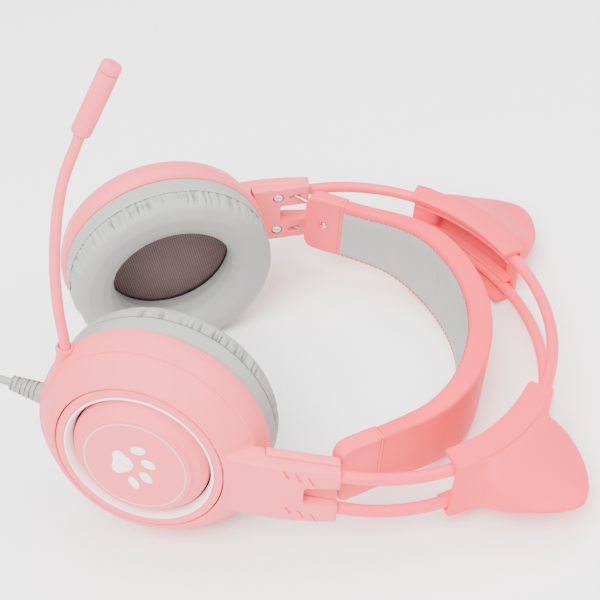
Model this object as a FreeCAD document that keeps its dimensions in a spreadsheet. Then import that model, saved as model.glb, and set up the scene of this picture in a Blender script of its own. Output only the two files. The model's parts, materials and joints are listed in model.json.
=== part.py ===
import FreeCAD, Part
import math
import os
import re
import Sketcher
from FreeCAD import Placement, Rotation, Vector

# Over-ear gaming headset with clip-on cat ears, in millimetres.
# Everything is drawn in the band frame: the plane z = 0 is the middle plane of the two frame
# tubes, +X runs from the cups to the crown, +Y from the wearer's left cup to the right cup and
# +Z to the wearer's front. One last placement then tips the headset onto the table, where it
# rests on both cups and both ears, with the origin under the middle of the headset.

DIMENSIONS = {
    # cups: a local frame at the ring's back edge, radius r and height w outwards
    "left_cup_x": 17.0, "left_cup_y": 49.8, "left_toe": 19.5,
    "right_cup_x": 18.6, "right_cup_y": 48.3, "right_toe": 15.0,
    "cup_lean": 4.9, "cup_radius": 45.0, "ring_depth": 11.6, "ring_front_radius": 43.4,
    "ring_bore": 41.4, "joint_gap": 0.3, "shell_front": 20.9, "face_radius": 32.6,
    "bezel_bore": 29.1, "light_bore": 26.9, "dome_radius": 26.4, "dome_base": 15.0,
    "plateau_radius": 21.0, "plateau_height": 24.0, "trim_radius": 19.6, "trim_width": 0.8,
    "cushion_radius": 43.6, "cushion_bore": 25.3, "cushion_depth": 18.4,
    "cloth_radius": 27.5, "baffle_radius": 41.2, "baffle_low": 1.8, "baffle_thickness": 2.0,
    "driver_radius": 20.0, "magnet_radius": 13.0, "board_height": 12.4,
    # arms and their inner covers
    "arm_half_width": 14.2, "prong_gap": 4.4, "prong_root": 69.5, "arm_tip": 82.2,
    "cover_start": 55.8, "screw_x": 68.3, "slot_x": 76.5, "slot_depth": 1.2, "wire_radius": 0.6,
    # frame tubes
    "tube_radius": 2.4, "tube_half_gap": 9.0, "crown_arc_x": 83.2, "crown_arc": 92.0,
    "side_arc": 70.0, "arc_split": 45.0, "tube_end_angle": 112.5,
    # padded strap and its end caps
    "strap_crown_x": 65.3, "strap_crown_arc": 80.0, "strap_side_arc": 48.8,
    "strap_split": 30.0, "strap_turn": 64.0, "strap_straight": 17.4,
    "strap_end_width": 13.4, "strap_crown_width": 18.0,
    "strap_end_thickness": 5.2, "strap_crown_thickness": 9.4, "core_thickness": 1.0,
    "core_reach": 11.5, "cap_length": 18.2, "cap_thickness": 6.8, "cap_half_width": 14.2,
    "cap_corner": 6.0, "rivet_radius": 1.7,
    # cat ears
    "left_ear_angle": 49.5, "right_ear_angle": 43.0, "ear_half_span": 20.5, "ear_height": 36.5,
    "ear_tip_turn": 3.5,
    "ear_half_width": 13.6, "ear_wall": 1.8, "saddle_out": 4.4, "saddle_in": 4.8,
    "clip_clearance": 0.35,
    # microphone
    "boom_radius": 1.8, "capsule_radius": 3.5,
    # cord, its coil, its tie and its plug
    "cord_diameter": 3.2, "coil_radius": 18.4, "coil_section": 13.0, "cord_turn_share": 0.45,
    "tie_thickness": 0.6, "tie_width": 8.0, "tail_length": 26.0, "boot_length": 9.0,
    "sleeve_length": 15.0, "sleeve_radius": 3.6, "pin_radius": 1.75, "pin_length": 14.0,
    "pin_point": 2.6,
    # how it rests
    "rest_tilt": 11.5,
}
SIDES = (("left", -1), ("right", 1))

doc = FreeCAD.newDocument("gaming_headset")
sheet = doc.addObject("Spreadsheet::Sheet", "dims")
for row, (alias, number) in enumerate(DIMENSIONS.items(), start=1):
    sheet.set("A%d" % row, alias)
    sheet.set("B%d" % row, str(number))
    sheet.setAlias("B%d" % row, alias)
doc.recompute()
parts = {}


def dim(alias):
    """A driving dimension, read from the sheet."""
    return float(getattr(sheet, alias))


def bound(text):
    """An expression in which every alias points at the sheet."""
    return re.sub(r"[a-z][a-z_]+", lambda word: "dims." + word.group(0), text)


def polar(radius, degrees):
    return Vector(radius * math.cos(math.radians(degrees)), radius * math.sin(math.radians(degrees)), 0)


def body_plane(body, role):
    return next(item for item in body.Origin.OriginFeatures if item.Role == role)


def outline_sketch(body, role, corners):
    """A closed outline of straight lines, each corner held by two expressions on the sheet."""
    sketch = body.newObject("Sketcher::SketchObject", body.Name + "_outline")
    sketch.AttachmentSupport = [(body_plane(body, role), "")]
    sketch.MapMode = "FlatFace"
    count = len(corners)
    start = [polar(10.0, 360.0 * index / count) for index in range(count)]
    for index in range(count):
        sketch.addGeometry(Part.LineSegment(start[index], start[(index + 1) % count]), False)
    for index in range(count):
        sketch.addConstraint(Sketcher.Constraint("Coincident", index, 2, (index + 1) % count, 1))
    for index, corner in enumerate(corners):
        for kind, text in zip(("DistanceX", "DistanceY"), corner):
            place = sketch.addConstraint(Sketcher.Constraint(kind, -1, 1, index, 1, 1.0))
            sketch.setExpression("Constraints[%d]" % place, bound(text))
    return sketch


def turned(name, profile):
    """A body turned about its own Z axis from a profile of (radius, height) expressions."""
    body = doc.addObject("PartDesign::Body", name)
    sketch = outline_sketch(body, "XZ_Plane", profile)
    turn = body.newObject("PartDesign::Revolution", name + "_turn")
    turn.Profile = sketch
    turn.ReferenceAxis = (sketch, ["V_Axis"])
    turn.Angle = 360.0
    return body


def rod(name, radius, height, place=Placement()):
    """A cylinder whose sizes come from the sheet."""
    cylinder = doc.addObject("Part::Cylinder", name)
    cylinder.setExpression("Radius", bound(radius))
    cylinder.setExpression("Height", bound(height))
    cylinder.Placement = place
    return cylinder


def block(name, sizes, place):
    """A box centred on its placement, with its sizes from the sheet."""
    box = doc.addObject("Part::Box", name)
    for prop, text in zip(("Length", "Width", "Height"), sizes):
        box.setExpression(prop, bound(text))
    doc.recompute()
    half = Vector(-box.Length.Value / 2, -box.Width.Value / 2, -box.Height.Value / 2)
    box.Placement = place.multiply(Placement(half, Rotation()))
    return box


def shaped(name, shape, place=Placement()):
    """A free shape made with Part's own functions."""
    feature = doc.addObject("Part::Feature", name)
    feature.Shape = shape
    feature.Placement = place.multiply(shape.Placement)
    return feature


def fused(name, members):
    union = doc.addObject("Part::MultiFuse", name)
    union.Shapes = members
    return union


def cut(name, base, tools):
    tool = tools[0] if len(tools) == 1 else fused(name + "_tools", tools)
    result = doc.addObject("Part::Cut", name)
    result.Base = base
    result.Tool = tool
    return result


def keep(node, item):
    """Names a finished sub-part: its label is the node's name and its file's name."""
    item.Label = node
    parts[node] = item
    return item


# ---------------------------------------------------------------- frames of reference
def cup_frame(side):
    """The cup's own frame: Z outwards along the cup's axis, X towards the crown."""
    word, sign = side
    toe = math.radians(dim(word + "_toe"))
    lean = math.radians(dim("cup_lean"))
    axis = Vector(-math.sin(toe) * math.cos(lean), sign * math.cos(toe) * math.cos(lean), math.sin(lean))
    crown = Vector(1, 0, 0) - axis * axis.x
    crown.normalize()
    centre = Vector(dim(word + "_cup_x"), sign * dim(word + "_cup_y"), 0)
    return Placement(centre, Rotation(crown, axis.cross(crown), axis, "ZXY"))


def tube_point(sign, angle, offset=0.0, height=0.0):
    """A point beside the frame tubes, at a normal angle from the crown and an offset outwards."""
    split = dim("arc_split")
    centre = Vector(dim("crown_arc_x"), 0, 0)
    radius = dim("crown_arc")
    if angle > split:
        centre = centre + polar(dim("crown_arc") - dim("side_arc"), split)
        radius = dim("side_arc")
    point = centre + polar(radius + offset, angle)
    return Vector(point.x, sign * point.y, height)


def band_strip(sign, angles, offsets, heights):
    """A flat strip that follows the tubes between two angles, two offsets and two heights."""
    first, last = angles
    stops = [first] + ([dim("arc_split")] if first < dim("arc_split") < last else []) + [last]
    edges = []
    for offset in offsets:
        for start, end in zip(stops, stops[1:]):
            through = tube_point(sign, (start + end) / 2, offset, heights[0])
            start_point = tube_point(sign, start + 1e-9, offset, heights[0])
            end_point = tube_point(sign, end, offset, heights[0])
            edges.append(Part.Arc(start_point, through, end_point).toShape())
    for angle in (first, last):
        low = tube_point(sign, angle, offsets[0], heights[0])
        high = tube_point(sign, angle, offsets[1], heights[0])
        edges.append(Part.LineSegment(low, high).toShape())
    wire = Part.Wire(Part.__sortEdges__(edges))
    return Part.Face(wire).extrude(Vector(0, 0, heights[1] - heights[0]))


def swept(points_of_arcs, radius):
    """A round rod along arcs, each given by its start, a middle point and its end."""
    edges = [Part.Arc(*points).toShape() for points in points_of_arcs]
    path = Part.Wire(edges)
    start = points_of_arcs[0][0]
    direction = edges[0].tangentAt(edges[0].FirstParameter)
    section = Part.Wire(Part.Circle(start, direction, radius).toShape())
    return path.makePipeShell([section], True, True)


# ---------------------------------------------------------------- cups
def cup_pieces(side):
    word, sign = side
    frame = cup_frame(side)

    ring = turned(word + "_ring_body", (
        ("ring_bore", "0"), ("cup_radius - 1.2", "0"), ("cup_radius", "1.2"), ("cup_radius", "8"),
        ("ring_front_radius", "ring_depth"), ("ring_bore", "ring_depth")))
    bezel = turned(word + "_bezel_body", (
        ("bezel_bore", "14.5"), ("face_radius - 0.3", "14.5"), ("face_radius - 0.3", "shell_front - 0.5"),
        ("face_radius - 1", "shell_front"), ("bezel_bore + 0.3", "shell_front")))
    light = turned(word + "_light_body", (
        ("light_bore", "14"), ("bezel_bore - 0.1", "14"), ("bezel_bore - 0.1", "shell_front - 0.3"),
        ("bezel_bore - 0.7", "shell_front - 0.1"), ("light_bore + 0.2", "shell_front - 2.4")))
    trim = turned(word + "_trim_body", (
        ("trim_radius - trim_width / 2", "plateau_height - 0.8"),
        ("trim_radius + trim_width / 2", "plateau_height - 0.8"),
        ("trim_radius + trim_width / 2", "plateau_height"),
        ("trim_radius - trim_width / 2", "plateau_height")))
    dome = turned(word + "_dome_body", (
        ("0", "plateau_height - 2"), ("plateau_radius - 2.5", "plateau_height - 2"),
        ("dome_radius - 2", "dome_base"), ("dome_radius", "dome_base"),
        ("dome_radius - 0.4", "dome_base + 3.6"), ("dome_radius - 2.6", "dome_base + 6"),
        ("plateau_radius + 0.6", "plateau_height - 1.2"), ("plateau_radius", "plateau_height - 0.3"),
        ("plateau_radius - 0.8", "plateau_height"), ("0", "plateau_height")))
    cushion = turned(word + "_cushion_body", (
        ("cushion_bore + 2", "-0.3"), ("cushion_radius - 1.5", "-0.3"), ("cushion_radius", "-3"),
        ("cushion_radius", "-9"), ("cushion_radius - 2.5", "-14.5"), ("cushion_radius - 7.5", "-17.6"),
        ("cushion_radius - 10", "-cushion_depth"), ("cushion_bore + 4.5", "-cushion_depth"),
        ("cushion_bore + 1", "-13.5"), ("cushion_bore", "-8")))
    cloth = turned(word + "_cloth_body", (
        ("0", "0.3"), ("cloth_radius", "0.3"), ("cloth_radius", "0.9"), ("0", "0.9")))
    plate_body = turned(word + "_baffle_body", (
        ("driver_radius - 1.5", "baffle_low"), ("baffle_radius", "baffle_low"),
        ("baffle_radius", "baffle_low + baffle_thickness"),
        ("driver_radius - 1.5", "baffle_low + baffle_thickness")))
    driver = turned(word + "_driver_body", (
        ("0", "baffle_low + baffle_thickness + 0.1"),
        ("driver_radius", "baffle_low + baffle_thickness + 0.1"),
        ("driver_radius", "baffle_low + baffle_thickness + 2.1"),
        ("magnet_radius", "baffle_low + baffle_thickness + 4"),
        ("magnet_radius", "baffle_low + baffle_thickness + 7"),
        ("0", "baffle_low + baffle_thickness + 7")))
    board = turned(word + "_board_body", (
        ("0", "board_height"), ("face_radius - 8", "board_height"),
        ("face_radius - 8", "board_height + 1.2"), ("0", "board_height + 1.2")))

    toes = paw_shapes()
    paw = shaped(word + "_paw_shapes", Part.makeCompound(toes), Placement())
    pocket = shaped(word + "_paw_pockets", Part.makeCompound(toes), Placement())
    groove = turned(word + "_trim_groove", (
        ("trim_radius - trim_width / 2", "plateau_height - 0.8"),
        ("trim_radius + trim_width / 2", "plateau_height - 0.8"),
        ("trim_radius + trim_width / 2", "plateau_height + 1"),
        ("trim_radius - trim_width / 2", "plateau_height + 1")))
    face_disc = cut(word + "_dome_cut", dome, [groove, pocket])

    vents = []
    for angle in range(0, 360, 45):
        spot = polar(dim("cloth_radius") + 4.0, angle)
        vents.append(rod("%s_vent_%d" % (word, angle), "1.5", "6", Placement(spot, Rotation())))
    baffle = cut(word + "_baffle_cut", plate_body, vents)

    pieces = (("cup_ring", ring), ("face_bezel", bezel), ("light_ring", light), ("disc_trim", trim),
              ("face_disc", face_disc), ("paw_lens", paw), ("ear_cushion", cushion),
              ("speaker_cloth", cloth), ("baffle", baffle), ("driver", driver), ("light_board", board))
    for piece_name, item in pieces:
        item.Placement = frame
        keep("%s_%s" % (word, piece_name), item)


def paw_shapes():
    """The paw: one three-lobed pad and four toe beans, as straight prisms let into the disc."""
    low = dim("plateau_height") - 1.2
    depth = Vector(0, 0, 1.2)
    beans = []
    for x, y, long_half, short_half, turn in ((1.4, 8.1, 2.9, 1.9, 10), (5.2, 2.4, 2.9, 1.9, -20),
                                              (4.2, -4.5, 2.9, 1.9, -45), (-0.6, -8.5, 2.9, 1.8, -60)):
        bean = Part.Ellipse(Vector(0, 0, 0), long_half, short_half).toShape()
        bean = Part.Face(Part.Wire(bean)).extrude(depth)
        bean.Placement = Placement(Vector(x, y, low), Rotation(Vector(0, 0, 1), turn))
        beans.append(bean)
    lobes = ((-3.6, 0.2, 2.9), (-6.2, 3.6, 2.2), (-6.6, -2.6, 2.4))
    pad = None
    for x, y, radius in lobes:
        lobe = Part.makeCylinder(radius, depth.z, Vector(x, y, low))
        pad = lobe if pad is None else pad.fuse(lobe)
    middle = Part.Face(Part.makePolygon([Vector(x, y, low) for x, y in
                                         ((-1.6, 2.0), (-5.4, 5.4), (-8.2, 2.6), (-8.6, -1.6),
                                          (-5.6, -4.6), (-1.8, -2.0), (-1.6, 2.0))]))
    pad = pad.fuse(middle.extrude(depth)).removeSplitter()
    return [pad] + beans


# ---------------------------------------------------------------- outer shells, arms, covers
ARM_OUTER = ((50.5, 82.3), (61.0, 85.0), (72.0, 86.3))
ARM_TIP_OUTER = 86.9
ARM_TIP_INNER = 79.3
ARM_ROOT_INNER = 73.8


def arm_line(x):
    """The arm's inner face: its distance from the middle plane at a given x."""
    share = (x - dim("cover_start")) / (dim("arm_tip") - dim("cover_start"))
    return ARM_ROOT_INNER + share * (ARM_TIP_INNER - ARM_ROOT_INNER)


def prism(points, low, high):
    """A straight prism over an outline of (x, y) corners."""
    corners = [Vector(x, y, low) for x, y in points]
    return Part.Face(Part.makePolygon(corners + corners[:1])).extrude(Vector(0, 0, high - low))


def tube_shape(sign, height, clearance=0.0):
    """One frame tube: a crown arc and two tighter side arcs, as one bent rod."""
    end = dim("tube_end_angle")
    split = dim("arc_split")
    arcs = []
    for first, last in ((-end, -split), (-split, split), (split, end)):
        points = []
        for angle in (first, (first + last) / 2, last):
            point = tube_point(1 if angle >= 0 else -1, abs(angle), 0.0, height)
            points.append(point)
        arcs.append(points)
    return swept(arcs, dim("tube_radius") + clearance)


def shell_pieces(side):
    word, sign = side
    frame = cup_frame(side)
    half = dim("arm_half_width")
    tip = dim("arm_tip")
    start = dim("cover_start")
    floor = dim("ring_depth") + dim("joint_gap")

    outside = turned(word + "_shell_outside", (
        ("0", "ring_depth + joint_gap"), ("ring_front_radius", "ring_depth + joint_gap"),
        ("ring_front_radius + 0.2", "14.4"), ("ring_front_radius - 0.7", "16.8"),
        ("ring_front_radius - 2.6", "19"), ("ring_front_radius - 5.4", "20.5"),
        ("ring_front_radius - 8", "shell_front"), ("0", "shell_front")))
    inside = turned(word + "_shell_inside", (
        ("0", "-2"), ("cup_radius + 0.4", "-2"), ("cup_radius + 0.4", "ring_depth + joint_gap"),
        ("ring_bore", "ring_depth + joint_gap"), ("ring_bore", "14.4"),
        ("ring_bore - 1", "16"), ("ring_bore - 3", "17.6"), ("ring_bore - 6", "18.6"),
        ("face_radius", "18.8"), ("face_radius", "shell_front + 4"), ("0", "shell_front + 4")))
    for item in (outside, inside):
        item.Placement = frame

    root_out = frame.multVec(Vector(35.5, 0, dim("shell_front") - 0.1))
    root_in = frame.multVec(Vector(35.5, 0, floor))
    outer_line = [(x, sign * y) for x, y in ARM_OUTER] + [(tip, sign * ARM_TIP_OUTER)]
    split_line = [(tip, sign * (ARM_TIP_INNER + 4.1)), (start, sign * (ARM_ROOT_INNER + 4.1))]
    back_line = [(start, sign * ARM_ROOT_INNER), (root_in.x, root_in.y)]
    arm = prism([(root_out.x, root_out.y)] + outer_line + split_line + back_line, -half, half)
    cover_line = [(start + 0.2, sign * (ARM_ROOT_INNER + 4.05)), (tip, sign * (ARM_TIP_INNER + 4.05)),
                  (tip, sign * ARM_TIP_INNER), (start + 0.2, sign * ARM_ROOT_INNER)]
    cover = prism(cover_line, -half, half)
    cup_room = Part.makeCylinder(dim("cup_radius") + 0.4, dim("shell_front") + 2, Vector(0, 0, -2))
    cup_room.Placement = frame.multiply(cup_room.Placement)
    cover = cover.cut(cup_room)

    gap = dim("prong_gap")
    slot = prism([(dim("prong_root"), sign * 70), (tip + 2, sign * 70), (tip + 2, sign * 90),
                  (dim("prong_root"), sign * 90)], -gap, gap)
    for height in (-dim("tube_half_gap"), dim("tube_half_gap")):
        bore = tube_shape(sign, height, 0.02)
        arm = arm.cut(bore)
        cover = cover.cut(bore)
        y_slot = arm_line(dim("slot_x"))
        wire_slot = Part.makeBox(5.0, 2 * dim("slot_depth"), 2.0)
        wire_slot.Placement = Placement(
            Vector(dim("slot_x") - 3.0, sign * y_slot - dim("slot_depth"), height - 1.0), Rotation())
        cover = cover.cut(wire_slot)
        y_screw = sign * arm_line(dim("screw_x"))
        into = Vector(0, sign, 0)
        head_seat = Part.makeCylinder(2.3, 2.2, Vector(dim("screw_x"), y_screw - sign * 0.4, height), into)
        shank_hole = Part.makeCylinder(1.15, 9.5, Vector(dim("screw_x"), y_screw, height), into)
        cover = cover.cut(head_seat).cut(shank_hole)
        arm = arm.cut(shank_hole)
    arm = arm.cut(slot)
    cover = cover.cut(slot)
    ribs = shaped(word + "_arm_blank", arm)
    whole = fused(word + "_shell_union", [outside, ribs])
    keep(word + "_outer_shell", cut(word + "_shell_cut", whole, [inside]))
    keep(word + "_arm_cover", shaped(word + "_cover_shape", cover))

    screws = []
    for height in (-dim("tube_half_gap"), dim("tube_half_gap")):
        y_screw = sign * arm_line(dim("screw_x"))
        into = Vector(0, sign, 0)
        head = Part.makeCylinder(2.1, 1.4, Vector(dim("screw_x"), y_screw + sign * 0.35, height), into)
        shank = Part.makeCylinder(1.1, 7.6, Vector(dim("screw_x"), y_screw + sign * 1.7, height), into)
        drive = Part.makeBox(2.6, 1.2, 0.7)
        drive.Placement = Placement(
            Vector(dim("screw_x") - 1.3, y_screw + sign * 0.35 - 0.6, height - 0.35), Rotation())
        screws.append(head.fuse(shank).cut(drive))
    keep(word + "_arm_screws", shaped(word + "_screw_shapes", Part.makeCompound(screws)))


# ---------------------------------------------------------------- frame tubes
def frame_tubes():
    for word, height in (("front", dim("tube_half_gap")), ("rear", -dim("tube_half_gap"))):
        keep(word + "_tube", shaped(word + "_tube_shape", tube_shape(1, height)))


# ---------------------------------------------------------------- suspended strap
def strap_stations():
    """Stations from the left cap to the right cap: a point on the strap's middle line, the
    outward normal there, and the share of the way from the cap (0) to the crown (1)."""
    split = dim("strap_split")
    turn = dim("strap_turn")
    crown = dim("strap_crown_arc")
    side = dim("strap_side_arc")
    crown_centre = Vector(dim("strap_crown_x"), 0, 0)
    shoulder = crown_centre + polar(crown - side, split)
    bend_end = shoulder + polar(side, turn)
    along = polar(1, turn - 90)
    half = [(bend_end - along * dim("strap_straight") * run, polar(1, turn), share)
            for run, share in ((1.0, 0.0), (0.5, 0.12))]
    half += [(shoulder + polar(side, angle), polar(1, angle), share)
             for angle, share in ((turn, 0.25), (56, 0.38), (48, 0.52), (39, 0.68), (split, 0.8))]
    half += [(crown_centre + polar(crown, angle), polar(1, angle), share)
             for angle, share in ((20, 0.92), (10, 1.0))]
    mirrored = [(Vector(p.x, -p.y, 0), Vector(n.x, -n.y, 0), share) for p, n, share in half]
    top = (crown_centre + Vector(crown, 0, 0), Vector(1, 0, 0), 1.0)
    return mirrored + [top] + half[::-1]


def strap_layer(low, high, margin, extra_run=0.0):
    """One layer of the strap. low and high are offsets from the middle line: a share of half
    the strap's thickness there, plus a plain distance. margin narrows the layer."""
    sections = []
    stations = strap_stations()
    for index, (point, normal, share) in enumerate(stations):
        ease = share * share * (3 - 2 * share)
        thick = dim("strap_end_thickness")
        thick += ease * (dim("strap_crown_thickness") - thick)
        half = dim("strap_end_width")
        half += ease * (dim("strap_crown_width") - half) - margin
        if extra_run and index in (0, len(stations) - 1):
            inward = stations[1 if index == 0 else -2][0] - point
            inward.normalize()
            point = point - inward * extra_run
        offsets = [part_share * thick / 2 + plain for part_share, plain in (low, high)]
        corners = [point + normal * offset + Vector(0, 0, height)
                   for offset, height in ((offsets[0], -half), (offsets[1], -half),
                                          (offsets[1], half), (offsets[0], half))]
        sections.append(Part.makePolygon(corners + corners[:1]))
    return Part.makeLoft(sections, True, True)


def strap_pieces():
    half_core = dim("core_thickness") / 2
    cover = strap_layer((0, half_core + 0.1), (1, 0), 0.0)
    keep("strap_cover", shaped("strap_cover_shape", cover))
    pad = strap_layer((-1, 0), (0, -half_core - 0.1), 0.6)
    keep("strap_pad", shaped("strap_pad_shape", pad))
    core = strap_layer((0, -half_core), (0, half_core), 3.0, dim("core_reach"))
    for sign in (-1, 1):
        hole = Part.makeCylinder(dim("rivet_radius") + 0.02, dim("cap_thickness"),
                                 Vector(dim("cap_length") / 2, -dim("cap_thickness") / 2, 0),
                                 Vector(0, 1, 0))
        hole.Placement = cap_frame(sign).multiply(hole.Placement)
        core = core.cut(hole)
    keep("strap_core", shaped("strap_core_shape", core))


def cap_frame(sign):
    """The strap end cap's frame: origin at the strap's end, X along the strap away from the
    crown, Y outwards."""
    point, normal, share = strap_stations()[0 if sign < 0 else -1]
    towards = strap_stations()[1 if sign < 0 else -2][0] - point
    towards.normalize()
    return Placement(point, Rotation(-towards, normal, (-towards).cross(normal), "XYZ"))


def cap_pieces(side):
    word, sign = side
    frame = cap_frame(sign)
    middle = Placement(Vector(dim("cap_length") / 2 + 0.05, 0, 0), Rotation())
    blank = block(word + "_cap_blank", ("cap_length", "cap_thickness", "2 * cap_half_width"), middle)
    doc.recompute()
    rounded = doc.addObject("Part::Fillet", word + "_cap_rounded")
    rounded.Base = blank
    picks = []
    for index, edge in enumerate(blank.Shape.Edges, start=1):
        centre = edge.CenterOfMass
        at_end = centre.x > dim("cap_length") - 0.1
        if at_end and abs(abs(centre.z) - dim("cap_half_width")) < 0.1:
            picks.append((index, dim("cap_corner"), dim("cap_corner")))
    rounded.Edges = picks
    slot = block(word + "_core_slot", ("24", "core_thickness + 0.2", "2 * cap_half_width - 6"),
                 Placement())
    recess = rod(word + "_rivet_recess", "rivet_radius + 0.7", "0.6",
                 Placement(Vector(dim("cap_length") / 2, 0.5 - dim("cap_thickness") / 2, 0),
                           Rotation(Vector(1, 0, 0), 90)))
    hole = rod(word + "_rivet_hole", "rivet_radius + 0.02", "cap_thickness - 1.2",
               Placement(Vector(dim("cap_length") / 2, dim("cap_thickness") / 2 - 1.2, 0),
                         Rotation(Vector(1, 0, 0), 90)))
    cap = cut(word + "_cap_cut", rounded, [slot, recess, hole])
    cap.Placement = frame
    keep(word + "_end_cap", cap)
    rivet = rod(word + "_rivet_pin", "rivet_radius", "cap_thickness - 1.7",
                Placement(Vector(dim("cap_length") / 2, dim("cap_thickness") / 2 - 1.4, 0),
                          Rotation(Vector(1, 0, 0), 90)))
    rivet.Placement = frame.multiply(rivet.Placement)
    keep(word + "_cap_rivet", rivet)

    wires = []
    for height in (-dim("tube_half_gap"), dim("tube_half_gap")):
        start_x = dim("slot_x") - 1.2
        start = Vector(start_x, sign * (arm_line(start_x) + 0.35), height)
        end = frame.multVec(Vector(dim("cap_length") + 0.4, 0, 0)) + Vector(0, 0, height * 0.9)
        run = end - start
        wires.append(Part.makeCylinder(dim("wire_radius"), run.Length, start, run))
    keep(word + "_wires", shaped(word + "_wire_shapes", Part.makeCompound(wires)))


# ---------------------------------------------------------------- cat ears
def ear_piece(side):
    word, sign = side
    mid = dim(word + "_ear_angle")
    first = mid - dim("ear_half_span")
    last = mid + dim("ear_half_span")
    half = dim("ear_half_width")
    wall = dim("ear_wall")
    out = dim("saddle_out")
    room = dim("tube_radius") + dim("clip_clearance")
    gap = dim("tube_half_gap")

    def section(offset, turn, half_length, half_width):
        centre = tube_point(sign, mid - turn, offset)
        along = polar(1, mid + 90)
        along = Vector(along.x, sign * along.y, 0)
        corners = [centre + along * half_length * run + Vector(0, 0, half_width * high)
                   for run, high in ((-1, -1), (1, -1), (1, 1), (-1, 1))]
        return Part.makePolygon(corners + corners[:1])

    peak = dim("ear_height")
    lean = dim("ear_tip_turn")
    outside = Part.makeLoft([section(-2, 0, 26, 11.6), section(16, lean / 2, 16.4, 6.6),
                             section(peak, lean, 3.6, 1.6)], True)
    hollow = Part.makeLoft([section(-2, 0, 24, 9.6), section(16, lean / 2, 14, 4.6),
                            section(peak - 4, lean, 2, 0.5)], True)
    below = band_strip(sign, (first - 12, last + 12), (-14, out - wall), (-half - 4, half + 4))
    below_plate = band_strip(sign, (first - 12, last + 12), (-14, out), (-half - 4, half + 4))
    ear = outside.cut(below)
    ear = ear.fuse(band_strip(sign, (first, last), (out - wall + 0.3, out), (-half, half)))
    for low, high in ((gap + room, half), (-half, -gap - room)):
        ear = ear.fuse(band_strip(sign, (first, last), (-dim("saddle_in"), out), (low, high)))
    for low, high in ((gap - room - 1.3, gap - room), (room - gap, room - gap + 1.3)):
        ear = ear.fuse(band_strip(sign, (first, last), (-1.5, out), (low, high)))
    ear = ear.cut(hollow.cut(below_plate))
    ear = ear.cut(band_strip(sign, (mid - 10, mid + 10), (out - wall - 1, out + 1), (-3.4, 3.4)))
    keep(word + "_ear", shaped(word + "_ear_shape", ear.removeSplitter()))


# ---------------------------------------------------------------- microphone
COLLAR_BASE = Vector(-17.3, -43.0, 27.0)
COLLAR_TOP = Vector(-15.9, -43.0, 34.0)
BOOM_LOWER = (Vector(-15.8, -42.95, 35.0), Vector(-17.2, -41.6, 53.0), Vector(-17.0, -38.1, 72.2))
BOOM_UPPER = (Vector(-16.9, -37.7, 73.8), Vector(-13.9, -31.4, 96.0), Vector(-7.3, -24.0, 112.8))
CAPSULE_END = Vector(4.6, -20.0, 138.2)


def microphone():
    frame = cup_frame(SIDES[0])
    run = COLLAR_TOP - COLLAR_BASE
    collar = Part.makeCone(2.4, dim("capsule_radius") - 0.2, run.Length, COLLAR_BASE, run)
    ring_room = Part.makeCylinder(dim("cup_radius") + 0.02, 20, Vector(0, 0, -3))
    ring_room.Placement = frame.multiply(ring_room.Placement)
    keep("boom_collar", shaped("boom_collar_shape", collar.cut(ring_room)))
    for node, arc in (("boom_lower", BOOM_LOWER), ("boom_upper", BOOM_UPPER)):
        keep(node, shaped(node + "_shape", swept([arc], dim("boom_radius"))))
    start = BOOM_UPPER[2]
    run = CAPSULE_END - start
    axis = Vector(run)
    axis.normalize()
    radius = dim("capsule_radius")
    base = start + axis * 0.6
    length = run.Length - 0.6
    housing = Part.makeCylinder(radius, length - 2.4, base, axis)
    housing = housing.cut(Part.makeCylinder(radius - 0.9, length, base + axis * 1.5, axis))
    keep("mic_housing", shaped("mic_housing_shape", housing))
    lid = Part.makeCylinder(radius, 2.3, base + axis * (length - 2.3), axis)
    keep("mic_end_cap", shaped("mic_lid_shape", lid))
    element = Part.makeCylinder(radius - 1.0, 4.0, base + axis * (length - 6.6), axis)
    keep("mic_element", shaped("mic_element_shape", element))


# ---------------------------------------------------------------- left cup electronics, cord
RELIEF_ANGLE = 172.0
RELIEF_HEIGHT = 4.4
RELIEF_LENGTH = 12.5


def relief_points():
    """The strain relief's root on the ring and its tip, in the band frame."""
    frame = cup_frame(SIDES[0])
    points = []
    for reach in (dim("cup_radius") - 1.0, dim("cup_radius") + RELIEF_LENGTH):
        spot = polar(reach, RELIEF_ANGLE)
        points.append(frame.multVec(Vector(spot.x, spot.y, RELIEF_HEIGHT)))
    return points


def left_electronics():
    frame = cup_frame(SIDES[0])
    root, tip = relief_points()
    run = tip - root
    relief = Part.makeCone(4.25, 2.9, run.Length, root, run)
    ring_room = Part.makeCylinder(dim("cup_radius") + 0.02, 30, Vector(0, 0, -6))
    ring_room.Placement = frame.multiply(ring_room.Placement)
    keep("strain_relief", shaped("strain_relief_shape", relief.cut(ring_room)))
    board = Part.makeBox(34, 11, 1.4, Vector(-17, -36, 13.9 - 2.2))
    board.Placement = frame.multiply(board.Placement)
    keep("control_board", shaped("control_board_shape", board))


def rest_placement():
    """Tips the headset until both cups and both ears touch the table, then brings the middle
    of its box over the origin and its lowest point to z = 0."""
    tilt = Placement(Vector(), Rotation(Vector(0, 1, 0), dim("rest_tilt")))
    boxes = []
    for item in parts.values():
        shape = item.Shape.copy()
        shape.Placement = tilt.multiply(shape.Placement)
        boxes.append(shape.optimalBoundingBox(False, False))
    low = [min(getattr(box, key) for box in boxes) for key in ("XMin", "YMin", "ZMin")]
    high = [max(getattr(box, key) for box in boxes) for key in ("XMax", "YMax")]
    move = Vector(-(low[0] + high[0]) / 2, -(low[1] + high[1]) / 2, -low[2])
    return Placement(move, Rotation()).multiply(tilt)


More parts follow.
